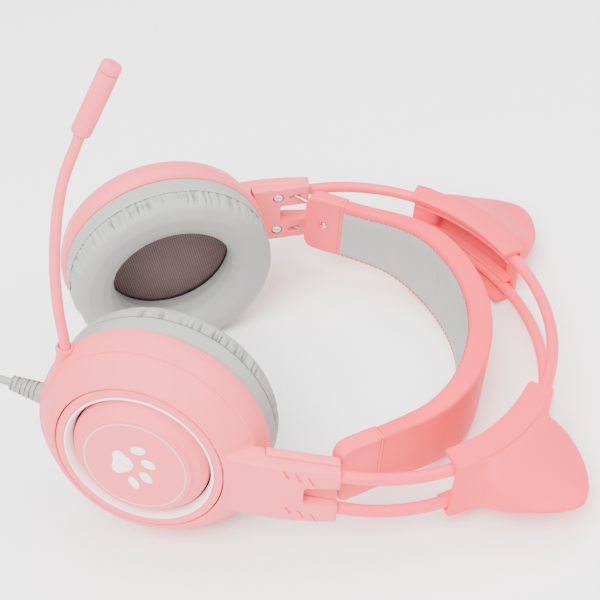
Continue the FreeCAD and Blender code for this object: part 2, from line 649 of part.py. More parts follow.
def cord_pieces(exit_point, exit_way):
    """The free cord in the row frame: a tube from the strain relief down to the table, a neat
    coil and the jack plug beside it."""
    diameter = dim("cord_diameter")
    floor = diameter / 2 + 0.1
    x, y, z = exit_point
    coil_centre = Vector(x - 94, y + 8, dim("coil_section") / 2)
    join = coil_centre + Vector(dim("coil_radius") - 2, 0, 0)
    route = [Vector(x, y, z), exit_point + exit_way * 15,
             Vector(x - 33, y + 9, z - 7), Vector(x - 45, y + 11, z - 24),
             Vector(x - 52, y + 10, z - 43), Vector(x - 64, y + 2, floor + 4)]
    route.append(Vector(join.x - 3, join.y - 9, floor + 3))
    tube, length = route_tube(route, diameter)
    print("cord tube length %.1f" % length)
    keep("cord", shaped("cord_shape", tube))
    coil = doc.addObject("Part::Torus", "coil_torus")
    coil.setExpression("Radius1", bound("coil_radius"))
    coil.setExpression("Radius2", bound("coil_section / 2"))
    coil.Placement = Placement(coil_centre, Rotation())
    keep("cord_coil", coil)
    plug_pieces(coil_centre)


def plug_pieces(coil_centre):
    """The tail that leaves the coil's outer turn, the jack plug on it and the coil's tie."""
    cord_radius = dim("cord_diameter") / 2
    coil_room = Part.makeTorus(dim("coil_radius"), dim("coil_section") / 2, coil_centre)
    along = Vector(-1, 0, 0)
    start = Vector(coil_centre.x, coil_centre.y - dim("coil_radius") - 3.0, dim("sleeve_radius") + 0.1)
    tail = Part.makeCylinder(cord_radius, dim("tail_length"), start, along)
    keep("cord_tail", shaped("cord_tail_shape", tail.cut(coil_room)))
    start = start + along * dim("tail_length")
    boot = Part.makeCone(cord_radius + 0.5, dim("sleeve_radius") - 0.9, dim("boot_length"), start, along)
    start = start + along * dim("boot_length")
    sleeve = Part.makeCylinder(dim("sleeve_radius"), dim("sleeve_length"), start, along)
    keep("plug_sleeve", shaped("plug_sleeve_shape", boot.fuse(sleeve)))
    start = start + along * dim("sleeve_length")
    straight = dim("pin_length") - dim("pin_point")
    pin = Part.makeCylinder(dim("pin_radius"), straight, start, along)
    point = Part.makeCone(dim("pin_radius"), 0.7, dim("pin_point"), start + along * straight, along)
    keep("plug_pin", shaped("plug_pin_shape", pin.fuse(point)))
    width = dim("tie_width")
    inner = dim("coil_section") / 2 + 0.7
    middle = Vector(coil_centre.x - width / 2, coil_centre.y + dim("coil_radius"), coil_centre.z)
    band = Part.makeCylinder(inner + dim("tie_thickness"), width, middle, Vector(1, 0, 0))
    band = band.cut(Part.makeCylinder(inner, width, middle, Vector(1, 0, 0)))
    reach = inner + dim("tie_thickness") + 1.0
    above = Part.makeBox(width, 2 * reach, 2 * reach, Vector(middle.x, middle.y - reach, 0))
    keep("coil_tie", shaped("coil_tie_shape", band.common(above)))


def route_tube(route, diameter):
    """A tube along straight runs joined by tangent arcs; each arc takes 0.45 of its shorter run."""
    share = dim("cord_turn_share")
    edges = []
    length = 0.0
    here = route[0]
    for before, corner, after in zip(route, route[1:], route[2:]):
        into = corner - before
        out = after - corner
        setback = share * min(into.Length, out.Length)
        into.normalize()
        out.normalize()
        half_turn = math.acos(max(-1.0, min(1.0, into.dot(out)))) / 2
        print("cord radius %.1f, turn %.0f" % (setback / math.tan(half_turn), math.degrees(2 * half_turn)))
        start = corner - into * setback
        end = corner + out * setback
        chord_middle = (start + end) * 0.5
        radius = setback / math.tan(half_turn)
        centre_way = chord_middle - corner
        centre_way.normalize()
        centre = corner + centre_way * (radius / math.cos(half_turn))
        through = centre - centre_way * radius
        edges.append(Part.LineSegment(here, start).toShape())
        edges.append(Part.Arc(start, through, end).toShape())
        length += (start - here).Length + radius * 2 * half_turn
        here = end
    edges.append(Part.LineSegment(here, route[-1]).toShape())
    length += (route[-1] - here).Length
    section = Part.Wire(Part.Circle(route[0], route[1] - route[0], diameter / 2).toShape())
    tube = Part.Wire(edges).makePipeShell([section], True, True)
    print("tube volume %.1f, section times length %.1f"
          % (tube.Volume, math.pi * diameter * diameter / 4 * length))
    return tube, length


# ---------------------------------------------------------------- assembly
for each_side in SIDES:
    cup_pieces(each_side)
    shell_pieces(each_side)
    ear_piece(each_side)
    cap_pieces(each_side)
frame_tubes()
strap_pieces()
microphone()
left_electronics()
doc.recompute()

rest = rest_placement()
for item in parts.values():
    item.Placement = rest.multiply(item.Placement)
relief_root, relief_tip = [rest.multVec(point) for point in relief_points()]
way = relief_tip - relief_root
way.normalize()
cord_pieces(relief_tip, way)
doc.recompute()

for item in doc.Objects:
    if {"Invalid", "Error"} & set(item.State):
        raise RuntimeError("%s failed: %s" % (item.Label, item.State))
for node, item in parts.items():
    if item.Shape.isNull() or not item.Shape.isValid() or not item.Shape.Solids:
        raise RuntimeError("%s has no valid solid" % node)
os.makedirs("parts", exist_ok=True)
for node, item in parts.items():
    item.Shape.exportStep("parts/%s.step" % node)
print("nodes", len(parts))
print("rest move", rest.Base, "exit", relief_tip, "way", way)
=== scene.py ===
# %% [markdown]
# # A pink gaming headset with clip-on cat ears
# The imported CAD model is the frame. Every visible surface is rebuilt here in the same place,
# with rounder edges, seams, pleats and stitches, and takes its finish from a node material.
# %%
import json
import math
import bmesh
import bpy
from mathutils import Matrix, Vector, noise


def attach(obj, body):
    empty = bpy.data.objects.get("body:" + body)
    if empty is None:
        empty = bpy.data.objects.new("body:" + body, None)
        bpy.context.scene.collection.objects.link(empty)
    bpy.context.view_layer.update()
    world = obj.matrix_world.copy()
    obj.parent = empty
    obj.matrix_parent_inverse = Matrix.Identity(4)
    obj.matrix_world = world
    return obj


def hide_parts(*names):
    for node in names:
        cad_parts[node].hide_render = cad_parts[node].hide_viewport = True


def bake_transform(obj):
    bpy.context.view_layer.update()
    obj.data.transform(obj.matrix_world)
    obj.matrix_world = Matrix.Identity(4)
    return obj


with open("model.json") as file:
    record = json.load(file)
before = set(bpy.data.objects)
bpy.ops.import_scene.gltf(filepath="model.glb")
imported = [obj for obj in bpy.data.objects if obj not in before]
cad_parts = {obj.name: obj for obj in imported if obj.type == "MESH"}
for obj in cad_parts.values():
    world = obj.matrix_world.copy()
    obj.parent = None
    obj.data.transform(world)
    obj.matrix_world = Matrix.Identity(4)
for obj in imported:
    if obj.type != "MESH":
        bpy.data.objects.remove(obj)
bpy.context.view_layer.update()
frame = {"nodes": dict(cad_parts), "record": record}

# %% [markdown]
# ## The band frame
# The headset is designed upright in millimetres: +X to the crown, +Y from the left cup to the
# right, +Z to the wearer's front. `ROW` tips it onto the table and turns it into metres. Each
# cup has its own frame on top of that, with Z outwards along the cup's axis.
# %%
TILT = math.radians(11.5)
MOVE = Vector((-72.0205, 3.2739, 48.1335)) / 1000
ROW = Matrix.Translation(MOVE) @ Matrix.Rotation(TILT, 4, "Y") @ Matrix.Scale(0.001, 4)


def cup_matrix(sign, x, y, toe, lean):
    toe, lean = math.radians(toe), math.radians(lean)
    flat = math.cos(lean)
    axis = Vector((-math.sin(toe) * flat, sign * math.cos(toe) * flat, math.sin(lean)))
    crown = (Vector((1, 0, 0)) - axis * axis.x).normalized()
    turn = Matrix((crown, axis.cross(crown), axis)).transposed().to_4x4()
    return Matrix.Translation((x, sign * y, 0)) @ turn


CUPS = {"left": (-1, cup_matrix(-1, 17.0, 49.8, 19.5, 4.9)),
        "right": (1, cup_matrix(1, 18.6, 48.3, 15.0, 4.9))}
print("left cup centre in the row frame:", ROW @ CUPS["left"][1].translation)

# %% [markdown]
# ## Camera
# A long lens from above the wearer's left, a little rolled, aimed between the cups and the crown.
# %%
YAW, PITCH, ROLL = math.radians(-6.593), math.radians(42.179), math.radians(4.41)
AIM, DISTANCE = Vector((74.889, 19.073, 0)), 532.82
back = Vector((math.sin(YAW) * math.cos(PITCH), -math.cos(YAW) * math.cos(PITCH), math.sin(PITCH)))
right = (-back).cross(Vector((0, 0, 1))).normalized()
up = right.cross(-back)
rolled_right = math.cos(ROLL) * right + math.sin(ROLL) * up
rolled_up = math.cos(ROLL) * up - math.sin(ROLL) * right
turn = Matrix((rolled_right, rolled_up, back)).transposed().to_4x4()
lens_data = bpy.data.cameras.new("camera")
lens_data.lens, lens_data.sensor_width = 76.16, 36
lens_data.clip_start, lens_data.clip_end = 0.01, 20
camera = bpy.data.objects.new("camera", lens_data)
bpy.context.scene.collection.objects.link(camera)
place = ROW @ Matrix.Translation(AIM + back * DISTANCE) @ turn
camera.matrix_world = Matrix.LocRotScale(place.to_translation(), place.to_quaternion(), None)
bpy.context.scene.camera = camera
print("camera at", camera.location)

# %% [markdown]
# ## Fine patterns for the finishes
# Real surfaces are never perfectly even: moulded plastic has a fine grain, leatherette has small
# cells pressed into it, and speaker mesh is woven. A picture texture could carry this, but nodes
# stay sharp at any size. Each pattern below only gives a height, which the bump node reads.
# %%
def wired(nodes, links, kind, settings, vector):
    """A texture node of a kind, with its settings, fed by a vector."""
    node = nodes.new(kind)
    for socket, value in settings.items():
        node.inputs[socket].default_value = value
    links.new(vector, node.inputs["Vector"])
    return node


def pattern_height(nodes, links, pattern, grain, vector):
    if pattern == "noise":
        settings = {"Scale": grain, "Detail": 4}
        return wired(nodes, links, "ShaderNodeTexNoise", settings, vector).outputs["Fac"]
    if pattern == "leather":
        cells = wired(nodes, links, "ShaderNodeTexVoronoi", {"Scale": grain}, vector)
        cells.feature = "SMOOTH_F1"
        return cells.outputs["Distance"]
    both = nodes.new("ShaderNodeMath")
    both.operation = "MULTIPLY"
    for place_in_product, direction in enumerate(("X", "Z")):
        settings = {"Scale": grain, "Distortion": 0.6}
        wave = wired(nodes, links, "ShaderNodeTexWave", settings, vector)
        wave.bands_direction = direction
        links.new(wave.outputs["Fac"], both.inputs[place_in_product])
    return both.outputs["Value"]


print("patterns: noise, leather and weave")

# %% [markdown]
# ## One builder for every finish
# Every finish on the headset is one shader with the same three touches: a slow drift of colour, a
# slow drift of roughness, and a fine pattern as bump. Writing that once keeps the finishes alike
# in structure and different only in their numbers.
# %%
def node_material(name, colour, rough, drift=0.035, drift_scale=28, grain=2200, bump=0.05,
                  metal=0.0, sheen=0.0, pattern="noise", pattern_drift=0.0, specular=0.5,
                  under=0.0):
    mat = bpy.data.materials.new(name)
    mat.use_nodes = True
    nodes, links = mat.node_tree.nodes, mat.node_tree.links
    shader = nodes["Principled BSDF"]
    vector = nodes.new("ShaderNodeTexCoord").outputs["Object"]
    settings = {"Scale": drift_scale, "Detail": 3}
    slow = wired(nodes, links, "ShaderNodeTexNoise", settings, vector).outputs["Fac"]
    height = pattern_height(nodes, links, pattern, grain, vector)
    tint = nodes.new("ShaderNodeMix")
    tint.data_type = "RGBA"
    tint.inputs["A"].default_value = [max(c * (1 - drift), 0) for c in colour] + [1]
    tint.inputs["B"].default_value = [min(c * (1 + drift), 1) for c in colour] + [1]
    links.new(slow, tint.inputs["Factor"])
    colour_out = tint.outputs["Result"]
    if pattern_drift:
        shade = nodes.new("ShaderNodeMix")
        shade.data_type = "RGBA"
        shade.inputs["B"].default_value = [min(c * (1 + pattern_drift), 1) for c in colour] + [1]
        links.new(height, shade.inputs["Factor"])
        links.new(colour_out, shade.inputs["A"])
        colour_out = shade.outputs["Result"]
    links.new(colour_out, shader.inputs["Base Color"])
    gloss = nodes.new("ShaderNodeMapRange")
    gloss.inputs["To Min"].default_value = max(rough - 0.05, 0.02)
    gloss.inputs["To Max"].default_value = min(rough + 0.06, 1)
    links.new(slow, gloss.inputs["Value"])
    links.new(gloss.outputs["Result"], shader.inputs["Roughness"])
    relief = nodes.new("ShaderNodeBump")
    relief.inputs["Strength"].default_value = bump
    relief.inputs["Distance"].default_value = 0.0004
    links.new(height, relief.inputs["Height"])
    links.new(relief.outputs["Normal"], shader.inputs["Normal"])
    shader.inputs["Metallic"].default_value = metal
    shader.inputs["Sheen Weight"].default_value = sheen
    shader.inputs["Specular IOR Level"].default_value = specular
    if under:
        shader.inputs["Subsurface Weight"].default_value = under
        shader.inputs["Subsurface Radius"].default_value = (0.003, 0.002, 0.002)
    return mat


print("material builder ready")

# %% [markdown]
# ## The headset's finishes
# Pink plastics and paints differ a little in shade and gloss, as separately made parts do. The
# pinks are mixed stronger than they look, because bright studio light washes colour out, and
# their gloss is low, because a white room would otherwise lay a white veil over them.
# %%
SHELL = node_material("shell plastic", (0.95, 0.145, 0.17), 0.45, bump=0.035, specular=0.22)
EARS = node_material("ear plastic", (0.96, 0.062, 0.10), 0.48, bump=0.05, specular=0.2)
PAINT = node_material("tube paint", (0.94, 0.078, 0.11), 0.4, bump=0.03, specular=0.3)
SLEEVE = node_material("boom sleeve", (0.95, 0.135, 0.17), 0.5, bump=0.06, specular=0.2)
LENS = node_material("milky lens", (0.90, 0.86, 0.83), 0.32, bump=0.02, under=0.15)
PAW = node_material("paw lens", (0.90, 0.84, 0.82), 0.4, bump=0.02, under=0.15)
TRIM = node_material("inlaid line", (0.56, 0.43, 0.43), 0.4, bump=0.03)
PINK_SKIN = node_material("pink leatherette", (0.93, 0.058, 0.082), 0.52, grain=1500, bump=0.16,
                          pattern="leather", drift=0.05, specular=0.2)
CAPS = node_material("cap plastic", (0.93, 0.085, 0.11), 0.45, bump=0.035, specular=0.2)
GREY_SKIN = node_material("grey leatherette", (0.32, 0.325, 0.305), 0.55, grain=1300, bump=0.16,
                          pattern="leather", drift=0.05, specular=0.3)
MESH = node_material("speaker mesh", (0.10, 0.065, 0.066), 0.85, grain=330, bump=0.5,
                     pattern="weave", pattern_drift=1.6)
THREAD = node_material("thread", (0.45, 0.04, 0.06), 0.8, bump=0.3, sheen=0.2)
GREY_THREAD = node_material("grey thread", (0.10, 0.10, 0.095), 0.8, bump=0.3)
STEEL = node_material("zinc plated steel", (0.62, 0.61, 0.60), 0.28, metal=1.0, bump=0.1)
RUBBER = node_material("grey rubber", (0.27, 0.27, 0.26), 0.6, bump=0.14)
CORD = node_material("cord jacket", (0.27, 0.27, 0.26), 0.55, bump=0.1)
TIE = node_material("black tie", (0.02, 0.02, 0.02), 0.5, bump=0.1)
GOLD = node_material("plug metal", (0.83, 0.62, 0.27), 0.22, metal=1.0, bump=0.04)
DARK = node_material("inner plastic", (0.05, 0.045, 0.05), 0.6, bump=0.12)
BOARD = node_material("circuit board", (0.03, 0.13, 0.06), 0.45, bump=0.1, drift=0.2,
                      drift_scale=300)
FINISHES = {"pink_shell": SHELL, "ear_plastic": EARS, "pink_tube": PAINT, "pink_boom": SLEEVE,
           "white_lens": LENS, "paw_lens": PAW, "grey_trim": TRIM, "pink_leatherette": PINK_SKIN,
           "grey_leatherette": GREY_SKIN, "speaker_mesh": MESH, "inner_plastic": DARK,
           "driver_parts": DARK, "circuit_board": BOARD, "steel": STEEL, "grey_rubber": RUBBER,
           "grey_cord": CORD, "black_tie": TIE, "plug_metal": GOLD}
print("finishes:", len(FINISHES))

# %% [markdown]
# ## Finishes on the CAD nodes
# The parts inside the cups keep their CAD shape, so only their material slots change. Every node
# gets the finish of the slot that the record names, whether it stays visible or is replaced.
# %%
for subpart in frame["record"]["subparts"]:
    for material_slot in frame["nodes"][subpart["node"]].material_slots:
        material_slot.material = FINISHES[subpart["material_slot"]]

# %% [markdown]
# ## Finishing a piece
# Every piece ends the same way: its normals face out, its place goes into its mesh, soft edges
# are shaded smooth and hard ones kept, it is parented to an empty for the CAD body that carries
# it, takes its finish and hides the CAD nodes it stands for. One function does it, so no piece
# misses a step.
# %%
def finish_piece(name, bm, mat, body, covers=(), crease=35, matrix=ROW):
    bmesh.ops.recalc_face_normals(bm, faces=bm.faces)
    bm.transform(matrix)
    mesh = bpy.data.meshes.new(name)
    bm.to_mesh(mesh)
    bm.free()
    mesh.materials.append(mat)
    for face in mesh.polygons:
        face.use_smooth = True
    mesh.set_sharp_from_angle(angle=math.radians(crease))
    obj = bpy.data.objects.new(name, mesh)
    bpy.context.scene.collection.objects.link(obj)
    if body:
        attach(obj, body)
    if covers:
        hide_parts(*covers)
    return obj


print("finishing ready")

# %% [markdown]
# ## Turned and raised shapes
# Most of a headset's parts come off a lathe or out of a mould with a flat outline. `rounded`
# draws an outline whose corners are eased, `lathe` spins one about the Z axis, and `prism` raises
# one and bevels its edges. Spinning and extruding keep the edges as crisp as a real mould's.
# %%
def rounded(corners, closed=True, steps=4):
    """Corners of (x, y, radius) with each corner eased by a short curve."""
    points = []
    count = len(corners)
    for index, (x, y, radius) in enumerate(corners):
        corner = Vector((x, y))
        if radius == 0 or (not closed and index in (0, count - 1)):
            points.append(corner)
            continue
        into = Vector(corners[index - 1][:2]) - corner
        out = Vector(corners[(index + 1) % count][:2]) - corner
        half = max(into.angle(out) / 2, 0.05)
        cutback = min(radius / math.tan(half), 0.48 * into.length, 0.48 * out.length)
        start = corner + into.normalized() * cutback
        end = corner + out.normalized() * cutback
        for step in range(steps + 1):
            share = step / steps
            points.append(start * (1 - share) ** 2 + corner * 2 * share * (1 - share)
                          + end * share ** 2)
    return points


def lathe(corners, matrix, closed=True, steps=160, ease=4):
    bm = bmesh.new()
    line = [bm.verts.new((point.x, 0, point.y)) for point in rounded(corners, closed, ease)]
    pairs = list(zip(line, line[1:])) + ([(line[-1], line[0])] if closed else [])
    edges = [bm.edges.new(pair) for pair in pairs]
    bmesh.ops.spin(bm, geom=line + edges, cent=(0, 0, 0), axis=(0, 0, 1), dvec=(0, 0, 0),
                   angle=math.tau, steps=steps, use_merge=True, use_duplicate=False)
    bmesh.ops.remove_doubles(bm, verts=bm.verts, dist=1e-4)
    bm.transform(matrix)
    return bm


def prism(outline, low, high, bevel=0.0, segments=3, matrix=Matrix()):
    bm = bmesh.new()
    base = bm.faces.new([bm.verts.new((x, y, low)) for x, y in outline])
    raised = bmesh.ops.extrude_face_region(bm, geom=[base])
    moved = [item for item in raised["geom"] if isinstance(item, bmesh.types.BMVert)]
    bmesh.ops.translate(bm, verts=moved, vec=(0, 0, high - low))
    bmesh.ops.recalc_face_normals(bm, faces=bm.faces)
    if bevel:
        sharp = [edge for edge in bm.edges if edge.calc_face_angle(0) > math.radians(28)]
        bmesh.ops.bevel(bm, geom=sharp, offset=bevel, segments=segments, profile=0.5,
                        affect="EDGES", clamp_overlap=True)
    bm.transform(matrix)
    return bm


def box_mesh(low, high, matrix=Matrix()):
    outline = [(low[0], low[1]), (high[0], low[1]), (high[0], high[1]), (low[0], high[1])]
    return prism(outline, low[2], high[2], matrix=matrix)


print("lathe and prism ready")

# %% [markdown]
# ## Lofted shapes
# A strap, an ear or a bent tube changes as it goes along, so it is drawn as a row of outlines
# and `bridge_loops` fills the skin between each pair. `rod` is the simplest case: circles set
# square to a line, each one turned as little as possible from the one before, so nothing twists.
# %%
def loft(sections, filled=(0, -1), cyclic=False):
    """A skin over a row of closed outlines; `filled` says which of them a face closes."""
    bm = bmesh.new()
    loops = []
    for section in sections:
        ring = [bm.verts.new(point) for point in section]
        loops.append([bm.edges.new(pair) for pair in zip(ring, ring[1:] + ring[:1])])
    followers = loops[1:] + (loops[:1] if cyclic else [])
    for low, high in zip(loops, followers):
        bmesh.ops.bridge_loops(bm, edges=low + high)
    for index in filled:
        bmesh.ops.edgeloop_fill(bm, edges=loops[index])
    return bm


def rod(points, radius, sides=24):
    """A closed round rod through points, with no twist."""
    sections = []
    normal = (points[1] - points[0]).orthogonal().normalized()
    for index, point in enumerate(points):
        before = points[max(index - 1, 0)]
        after = points[min(index + 1, len(points) - 1)]
        along = (after - before).normalized()
        normal = (normal - along * normal.dot(along)).normalized()
        side = along.cross(normal)
        turns = [math.tau * k / sides for k in range(sides)]
        sections.append([point + radius * (math.cos(a) * normal + math.sin(a) * side)
                         for a in turns])
    return loft(sections)


print("loft and rod ready")

# %% [markdown]
# ## Putting meshes together
# `joined` gathers meshes into one without welding them, and `worked` runs modifiers over a mesh
# and hands back the result. Booleans cut slots and sockets that would be slow to model by hand.
# %%
def joined(*parts_of_mesh):
    whole = bmesh.new()
    for part in parts_of_mesh:
        mesh = bpy.data.meshes.new("joining")
        part.to_mesh(mesh)
        part.free()
        whole.from_mesh(mesh)
        bpy.data.meshes.remove(mesh)
    return whole


def worked(bm, *steps):
    """Runs modifiers over a mesh: each step is (type, {settings}) and a cutter may be a bmesh."""
    mesh = bpy.data.meshes.new("work")
    bmesh.ops.recalc_face_normals(bm, faces=bm.faces)
    bm.to_mesh(mesh)
    bm.free()
    obj = bpy.data.objects.new("work", mesh)
    bpy.context.scene.collection.objects.link(obj)
    helpers = []
    for kind, settings in steps:
        modifier = obj.modifiers.new(kind.lower(), kind)
        for key, setting in settings.items():
            if isinstance(setting, bmesh.types.BMesh):
                cutter_mesh = bpy.data.meshes.new("cutter")
                bmesh.ops.recalc_face_normals(setting, faces=setting.faces)
                setting.to_mesh(cutter_mesh)
                setting.free()
                setting = bpy.data.objects.new("cutter", cutter_mesh)
                bpy.context.scene.collection.objects.link(setting)
                helpers.append(setting)
            setattr(modifier, key, setting)
    depsgraph = bpy.context.evaluated_depsgraph_get()
    result = bmesh.new()
    result.from_mesh(obj.evaluated_get(depsgraph).to_mesh())
    for spare in [obj] + helpers:
        bpy.data.objects.remove(spare, do_unlink=True)
    return result


print("joining and modifiers ready")

# %% [markdown]
# ## Where the frame tubes run
# The frame is a wide arc over the crown and a tighter one at each side. Tubes and ears both
# follow it, so one function gives a point beside it for any angle from the crown.
# %%
CROWN_ARC, SIDE_ARC, ARC_SPLIT = 92.0, 70.0, 45


def tube_point(sign, angle, offset=0.0, height=0.0):
    """A point beside the frame tubes at a normal angle from the crown."""
    centre, radius = Vector((83.2, 0, 0)), CROWN_ARC
    if angle > ARC_SPLIT:
        split = math.radians(ARC_SPLIT)
        centre += Vector((math.cos(split), math.sin(split), 0)) * (CROWN_ARC - SIDE_ARC)
        radius = SIDE_ARC
    a = math.radians(angle)
    point = centre + Vector((math.cos(a), math.sin(a), 0)) * (radius + offset)
    return Vector((point.x, sign * point.y, height))


print("crown of the frame:", tube_point(1, 0))

# %% [markdown]
# ## The cable's route
# One cable leaves the left cup's strain relief, drops to the table and is put away in a tied
# coil: sixteen turns in four rows of four, wound outside to inside and back, then the plug. A
# physics rope would drift on every run, so the route is given as a spline's control points.
# %%
EXIT = Vector((-108.095, -31.074, 62.239))
WAY = Vector((-0.8935, 0.3406, 0.2928))
COIL = Vector((EXIT.x - 94, EXIT.y + 8, 0))
route = [EXIT, EXIT + WAY * 15, EXIT + Vector((-33, 9, -7)), EXIT + Vector((-45, 11, -24)),
         EXIT + Vector((-52, 10, -43)), Vector((EXIT.x - 60, EXIT.y + 6, 4.6)),
         COIL + Vector((25.5, -1, 2.6))]
TURNS, START, PER_TURN, PITCH_STEP = 15.72, -22.0, 16, 3.3
for step in range(int(TURNS * PER_TURN) + 1):
    lap = step / PER_TURN
    level, column = divmod(lap, 4)
    level = min(int(level), 3)
    column = lap - 4 * level
    settled = int(column) + min(max((column % 1 - 0.7) / 0.3, 0), 1)
    settled = min(settled, 3)
    spread = 1.5 - settled if level % 2 == 0 else settled - 1.5
    climb = min(max((column - 3.7) / 0.3, 0), 1) if level < 3 else 0
    reach = 18.4 + PITCH_STEP * spread
    angle = math.radians(START - 360 * lap)
    route.append(COIL + Vector((reach * math.cos(angle), reach * math.sin(angle),
                                2.2 + PITCH_STEP * (level + climb))))
tail_y = COIL.y - 21.4
route += [Vector((COIL.x - 8, tail_y - 1.5, 11.2)), Vector((COIL.x - 16, tail_y - 0.6, 7.6)),
          Vector((COIL.x - 22, tail_y, 4.3)), Vector((COIL.x - 27, tail_y, 3.7))]
print("control points:", len(route))

# %% [markdown]
# ## The cable
# A NURBS curve with a round bevel is the natural cable: it passes near its control points and
# never kinks. Its order is set after its points, or it would fall back to straight runs.
# %%
cord_data = bpy.data.curves.new("cable", "CURVE")
cord_data.dimensions = "3D"
spline = cord_data.splines.new("NURBS")
spline.points.add(len(route) - 1)
for control, point in zip(spline.points, route):
    control.co = (*(point / 1000), 1)
spline.order_u = 3
spline.use_endpoint_u = True
spline.resolution_u = 6
cord_data.bevel_depth = 0.0016
cord_data.bevel_resolution = 5
cord_data.use_fill_caps = True
cord_data.materials.append(CORD)
cable = bpy.data.objects.new("cable", cord_data)
bpy.context.scene.collection.objects.link(cable)
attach(cable, "frame")
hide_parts("cord", "cord_coil", "cord_tail")
print("cable made")

# %% [markdown]
# ## The tie
# A flat band holds the coil opposite the plug. Four loops, an outer and an inner pair, are
# bridged in a circle, so the band has real thickness.
# %%
loop = rounded([(-7.6, 0.2, 4), (7.6, 0.2, 4), (7.6, 14.6, 4), (-7.6, 14.6, 4)], steps=6)
band = loft([[(x, p.x * grow, 7.4 + (p.y - 7.4) * grow) for p in loop]
             for x, grow in ((-3.5, 1.0), (-3.5, 1.05), (3.5, 1.05), (3.5, 1.0))],
            filled=(), cyclic=True)
band.transform(Matrix.Translation(COIL + Vector((0, 18.4, 0.1))))
tie = finish_piece("cable_tie", band, TIE, "frame", ["coil_tie"],
                   matrix=Matrix.Scale(0.001, 4))
print("tie made")

# %% [markdown]
# ## The plug
# A ribbed boot, a smooth grip and a pin with three insulating bands, all turned: on the real plug
# each is a body of revolution, so a lathe profile says it in a few corners.
# %%
plug_turn = Matrix(((0, 0, -1), (0, 1, 0), (1, 0, 0))).to_4x4()
plug_place = Matrix.Scale(0.001, 4) @ Matrix.Translation((COIL.x - 26, tail_y, 3.7)) @ plug_turn
ribs = [(1.7, 0, 0)]
for rib in range(5):
    size = 2.0 + 0.12 * rib
    ribs += [(size + 0.35, 0.4 + 1.7 * rib, 0.15), (size + 0.35, 1.4 + 1.7 * rib, 0.15),
             (size, 1.5 + 1.7 * rib, 0), (size, 2.0 + 1.7 * rib, 0)]
grip = lathe(ribs + [(3.0, 9.0, 0.2), (3.6, 9.6, 0.3), (3.6, 23.4, 0.5), (3.1, 24.0, 0.2),
                     (0, 24.0, 0), (0, 0, 0)], Matrix(), steps=48)
plug_grip = finish_piece("plug_grip", grip, RUBBER, "frame", ["plug_sleeve"],
                         matrix=plug_place)
pin = lathe([(0, 24.0, 0), (1.75, 24.0, 0), (1.75, 28.3, 0), (1.6, 28.35, 0), (1.6, 28.9, 0),
             (1.75, 28.95, 0), (1.75, 31.3, 0), (1.6, 31.35, 0), (1.6, 31.9, 0), (1.75, 31.95, 0),
             (1.75, 34.6, 0.2), (1.1, 35.4, 0.3), (1.6, 36.4, 0.3), (0.5, 38.0, 0.2), (0, 38.0, 0)],
            Matrix(), closed=False, steps=48)
plug_tip = finish_piece("plug_contacts", pin, GOLD, "frame", ["plug_pin"],
                        matrix=plug_place)
print("plug made")

# %% [markdown]
# ## The strain relief
# A tapered rubber sleeve with slots cut from alternate sides lets the cable bend without
# breaking. The slots are turned all the way round and then bridged on two sides each.
# %%
SLEEVE_LENGTH = 0.0137
relief_turn = WAY.to_track_quat("Z", "Y").to_matrix().to_4x4()
taper = []
for notch in range(6):
    low = 1.6 + 1.9 * notch
    size = 4.25 - 0.1 * low
    taper += [(size, low, 0.12), (size - 0.05, low + 1.1, 0.12),
              (size - 0.75, low + 1.15, 0), (size - 0.8, low + 1.85, 0)]
sleeve = lathe([(1.65, -1.2, 0), (4.3, -1.2, 0), (4.25, 1.5, 0.1)] + taper
               + [(3.1, 13.1, 0.2), (2.9, 13.7, 0.3), (1.65, 13.7, 0)], Matrix(), steps=64)
bridges = []
for notch in range(6):
    low = 1.6 + 1.9 * notch
    side = 90 if notch % 2 else 0
    spin = Matrix.Rotation(math.radians(side), 4, "Z")
    for face in (1, -1):
        size = 4.15 - 0.1 * low
        bridges.append(box_mesh((face * (size - 1.3) - 0.9, -1.1, low + 0.9),
                                (face * (size - 1.3) + 0.9, 1.1, low + 2.0), spin))
relief_foot = Matrix.Translation(EXIT / 1000 - WAY * SLEEVE_LENGTH)
relief_place = relief_foot @ relief_turn @ Matrix.Scale(0.001, 4)
relief = finish_piece("relief_sleeve", joined(sleeve, *bridges), RUBBER, "frame",
                      ["strain_relief"], matrix=relief_place)

# %% [markdown]
# ## Outlines on the cup's face
# The emblem is a plain paw: one pad and four beans. The pad is a smooth closed line through a
# few points, and each bean is an ellipse of x, y, half length, half width and tilt.
# %%
PAD = [(-0.6, 0.0), (-1.5, 2.6), (-3.6, 4.3), (-5.4, 5.9), (-7.4, 5.6), (-8.5, 3.8), (-8.3, 1.6),
       (-8.5, -0.2), (-9.0, -2.2), (-8.3, -4.4), (-6.3, -5.1), (-4.0, -4.0), (-1.6, -2.4)]
BEANS = ((1.4, 8.1, 2.9, 1.9, 10), (5.2, 2.4, 2.9, 1.9, -20), (4.2, -4.5, 2.9, 1.9, -45),
         (-0.6, -8.5, 2.9, 1.8, -60))


def closed_curve(points, steps=6):
    """A smooth closed outline through points."""
    result = []
    count = len(points)
    for index in range(count):
        p0, p1, p2, p3 = (Vector(points[(index + k - 1) % count]) for k in range(4))
        for step in range(steps):
            t = step / steps
            result.append(0.5 * (2 * p1 + (p2 - p0) * t + (2 * p0 - 5 * p1 + 4 * p2 - p3) * t * t
                                 + (3 * p1 - 3 * p2 + p3 - p0) * t ** 3))
    return result


print("paw pieces:", 1 + len(BEANS))

